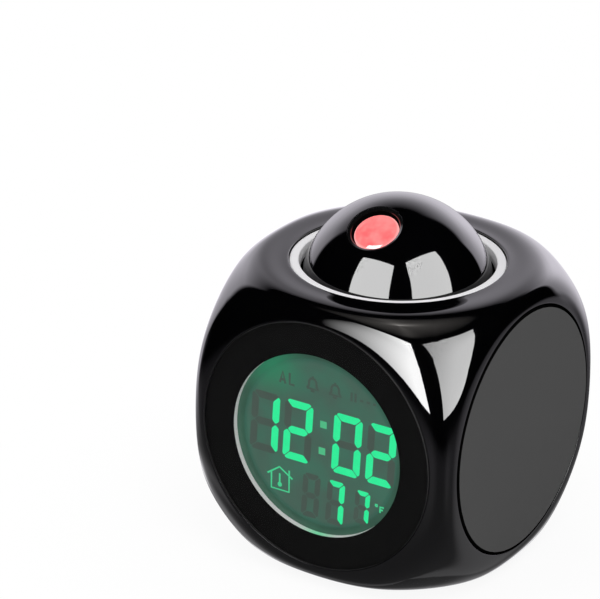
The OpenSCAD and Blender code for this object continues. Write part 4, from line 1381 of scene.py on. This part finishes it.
def all_digits(lit):
    outlines = []
    for character, x in time_digits:
        outlines += digit_bars(character, (x, time_z), lit=lit, **time_size)
    for character, at, size in degree_digits:
        outlines += digit_bars(character, at, lit=lit, **size)
    return outlines


# %% Outlines of the signs
house_lines = [
    [(-16.2, -13.0), (-12.45, -10.3), (-8.35, -12.85)],
    [(-14.95, -12.2), (-14.95, -16.95), (-9.4, -16.95), (-9.4, -10.6)],
    [(-12.35, -12.2), (-12.35, -14.9)],
]
unit_lines = [
    [(17.35, -13.25), (17.35, -12.75), (17.85, -12.75), (17.85, -13.25), (17.35, -13.25)],
    [(18.75, -14.85), (18.75, -13.15), (19.9, -13.15)],
    [(18.75, -13.95), (19.6, -13.95)],
]


def bell_lines(x, z):
    """Small bell: an outline with a flared foot, and a clapper under it."""
    body = [(-1.8, -1.4), (-1.2, -0.7), (-1.1, 0.7), (-0.6, 1.45), (0.6, 1.45), (1.1, 0.7),
            (1.2, -0.7), (1.8, -1.4), (-1.8, -1.4)]
    clapper, loop = [(-0.6, -2.0), (0.6, -2.0)], [(0, 1.5), (0, 2.2)]
    return [[(x + dx, z + dz) for dx, dz in line] for line in (body, clapper, loop)]


alarm_lines = [
    [(-12.6, 14.3), (-11.75, 17.6), (-10.9, 14.3)], [(-12.3, 15.3), (-11.2, 15.3)],
    [(-9.6, 17.7), (-9.6, 14.5), (-8.1, 14.5)],
    [(9.4, 14.7), (9.4, 17.2)], [(10.6, 14.7), (10.6, 17.2)],
    [(12.0, 15.6), (13.0, 15.6)], [(14.0, 15.6), (15.0, 15.6)], [(15.9, 15.6), (16.8, 15.6)],
] + bell_lines(-2.5, 16.4) + bell_lines(4.4, 16.4)


# %% Light of the display
def glowing(name, low, high, scale=500):
    """Light of a display's bars, between two screen colours."""
    material, net, surface = new_material(name)
    cloud = net.noise(net.object_place(), scale, detail=1)["Fac"]
    shader = net.node("ShaderNodeBsdfPrincipled", sockets={
        "Base Color": (0.005, 0.02, 0.012), "Roughness": 0.5,
        "Emission Color": net.blend(cloud, low, high), "Emission Strength": 1.0})
    net.feed(surface, shader)
    return material


lit_green = glowing("lit_green", srgb(42, 232, 148), srgb(54, 240, 158))
dim_green = glowing("dim_green", srgb(76, 182, 128), srgb(84, 190, 136))
sign_green = glowing("sign_green", srgb(64, 200, 138), srgb(78, 212, 148))
faint_bars = glowing("faint_bars", srgb(67, 79, 73), srgb(72, 83, 77), 200)


# %% Display pieces
def display_piece(name, outlines, material, lift=0, lines=(), stroke=0.45):
    """Plates in one colour; lift keeps them a hair over others, so that none flickers."""
    low = display_front + lift
    sheets = [plate([(x + image_at[0], z + image_at[1]) for x, z in outline],
                    FRONT, low, low + bar_thick) for outline in outlines]
    if lines:
        sheets.append(drawn(lines, stroke, material, low))
    return finish_piece(make_mesh(name, sheets), material, "case")


colon = [square(1.0, 5.65, 2.0, 1.95), square(0.65, -2.05, 2.0, 2.0)]
thermometer_bulb = circle(-12.3, -15.4, 0.68)
hair = 0.01                         # by which the lit plates lie over the unlit ones
display_piece("unlit_bars", all_digits(False), faint_bars, lines=alarm_lines, stroke=0.65)
display_piece("lit_bars", all_digits(True), lit_green, hair)
display_piece("colon_dots", colon, dim_green, hair)
display_piece("display_signs", [thermometer_bulb], sign_green, hair,
              lines=house_lines + unit_lines, stroke=0.48)
print("display pieces")

# %% [markdown]
# ## Materials of the carried-over nodes
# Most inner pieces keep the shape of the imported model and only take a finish: bright steel
# and nickel, circuit boards, dark moulded parts. A plain colour would do for what is hardly
# seen, but a little unevenness makes a screw read as metal when a panel is opened.

# %% Metals
def metal(name, colour, roughness, brushed=False):
    material, net, surface = new_material(name)
    place = net.object_place()
    if brushed:
        stretched = net.node("ShaderNodeVectorMath", {"operation": "MULTIPLY"},
                             {0: place, 1: (300, 4000, 4000)})
        grain = net.noise(stretched, 1.0, detail=4)["Fac"]
    else:
        grain = net.noise(place, 900, detail=3)["Fac"]
    shader = net.node("ShaderNodeBsdfPrincipled", sockets={
        "Base Color": net.blend(grain, tuple(c * 0.85 for c in colour), colour),
        "Metallic": 1.0, "Roughness": roughness * (0.8 + grain * 0.4)})
    net.feed(surface, shader)
    return material


# %% Circuit boards
def board(name):
    """Green solder mask over copper tracks, with a little relief."""
    material, net, surface = new_material(name)
    place = net.node("ShaderNodeVectorMath", {"operation": "SCALE"},
                     {0: net.object_place(), "Scale": 400.0})
    tracks = net.node("ShaderNodeTexBrick", {"offset": 0.5}, {
        "Vector": place,
        "Color1": (1, 1, 1), "Color2": (0.6, 0.6, 0.6), "Mortar": (0, 0, 0), "Mortar Size": 0.06,
        "Scale": 1.0, "Brick Width": 1.4, "Row Height": 0.7})["Fac"]
    shader = net.node("ShaderNodeBsdfPrincipled", sockets={
        "Base Color": net.blend(tracks, (0.012, 0.11, 0.035), (0.02, 0.2, 0.06)),
        "Roughness": 0.3, "Coat Weight": 0.3, "Normal": net.bump(tracks, 0.00003)})
    net.feed(surface, shader)
    return material


# %% Finishes of the inner pieces
steel = metal("steel", (0.62, 0.62, 0.64), 0.28, brushed=True)
nickel = metal("nickel", (0.72, 0.69, 0.63), 0.2)
dark_metal = metal("dark_metal", (0.09, 0.09, 0.1), 0.45)
green_board = board("green_board")
light_plate = glowing("light_plate", srgb(150, 225, 190), srgb(170, 240, 205), 60)
lamp_body = plastic("lamp_body", (0.6, 0.03, 0.03), 0.12)
clear_part = plastic("clear_part", (0.75, 0.78, 0.8), 0.08)
ribbon_film = plastic("ribbon_film", (0.6, 0.5, 0.28), 0.35)
contact_rubber = plastic("contact_rubber", (0.3, 0.12, 0.12), 0.7)
cell_wrap = plastic("cell_wrap", (0.03, 0.12, 0.06), 0.25, coat=0.5)

# %% Finish of each node
finish_nodes = [
    (border_black, "window_border"), (frame_white(), "display_frame"),
    (matt_black, "rear_panel base_plate battery_door"),
    (gloss_black, "key_1 key_2 key_3 key_4"),
    (soft_rubber, "foot_1 foot_2 foot_3 foot_4"),
    (dark_plastic, "key_switches dc_jack speaker_cone main_chip board_parts snooze_switch"),
    (grey_plastic, "guide_frame"), (deep_black, "ball_cradle"),
    (light_plate, "light_panel backlight_leds"), (contact_rubber, "lcd_connectors"),
    (green_board, "display_board control_board main_board led_board"),
    (steel, "display_screws ring_screws rear_panel_screws control_board_screws speaker_basket "
            "base_screws stack_screws guide_screws pivot_pins"),
    (dark_metal, "speaker_magnet"), (ribbon_film, "display_ribbon"),
    (nickel, "battery_contacts battery_springs snooze_spring_left snooze_spring_right"),
    (cell_wrap, "cell_1 cell_2 cell_3"), (clear_part, "time_film condenser_lens"),
    (lamp_body, "projector_led"), (lcd_background(), "lcd_glass"),
]
for material, nodes in finish_nodes:
    for node in nodes.split():
        mesh = frame["nodes"][node].data
        mesh.materials.clear()
        mesh.materials.append(material)
print(sum(len(nodes.split()) for _, nodes in finish_nodes), "nodes dressed")

# %% [markdown]
# ## Which pieces see which light
# The gloss of the body and the ball each mirror their own boxes, and matt pieces see none,
# because their even grey comes from the lamps and the sky. One set of boxes for all would be
# closer to a real studio, but then each edge on the ball would move when the body's did.
# Every piece stands in the way of every light, so that nothing shines through the clock.

# %% Receivers and blockers
ball_pieces = {upper_shell, lower_shell, barrel, lens}
shiny = {gloss_black, steel, nickel, cover.data.materials[0]}
for thing in bpy.context.scene.objects:
    if thing.type == "MESH" and not thing.get("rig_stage"):
        if thing in ball_pieces:
            ball_receivers.objects.link(thing)
            if thing != barrel:
                front_receivers.objects.link(thing)
            if thing in (upper_shell, lower_shell):
                shell_receivers.objects.link(thing)
        elif shiny.intersection(thing.data.materials):
            body_receivers.objects.link(thing)
        for blockers in blocker_sets:
            blockers.objects.link(thing)

# %% [markdown]
# ## The snooze springs
# Two coil springs stand on the guide frame and carry the cradle's bushes. When the ball is
# pressed, a real spring closes up between its foot, which stays, and its top, which follows
# the cradle. Here each spring only gets a mesh of its own.

# %% Each spring with a mesh of its own
for side in ("left", "right"):
    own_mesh(frame["nodes"]["snooze_spring_" + side])
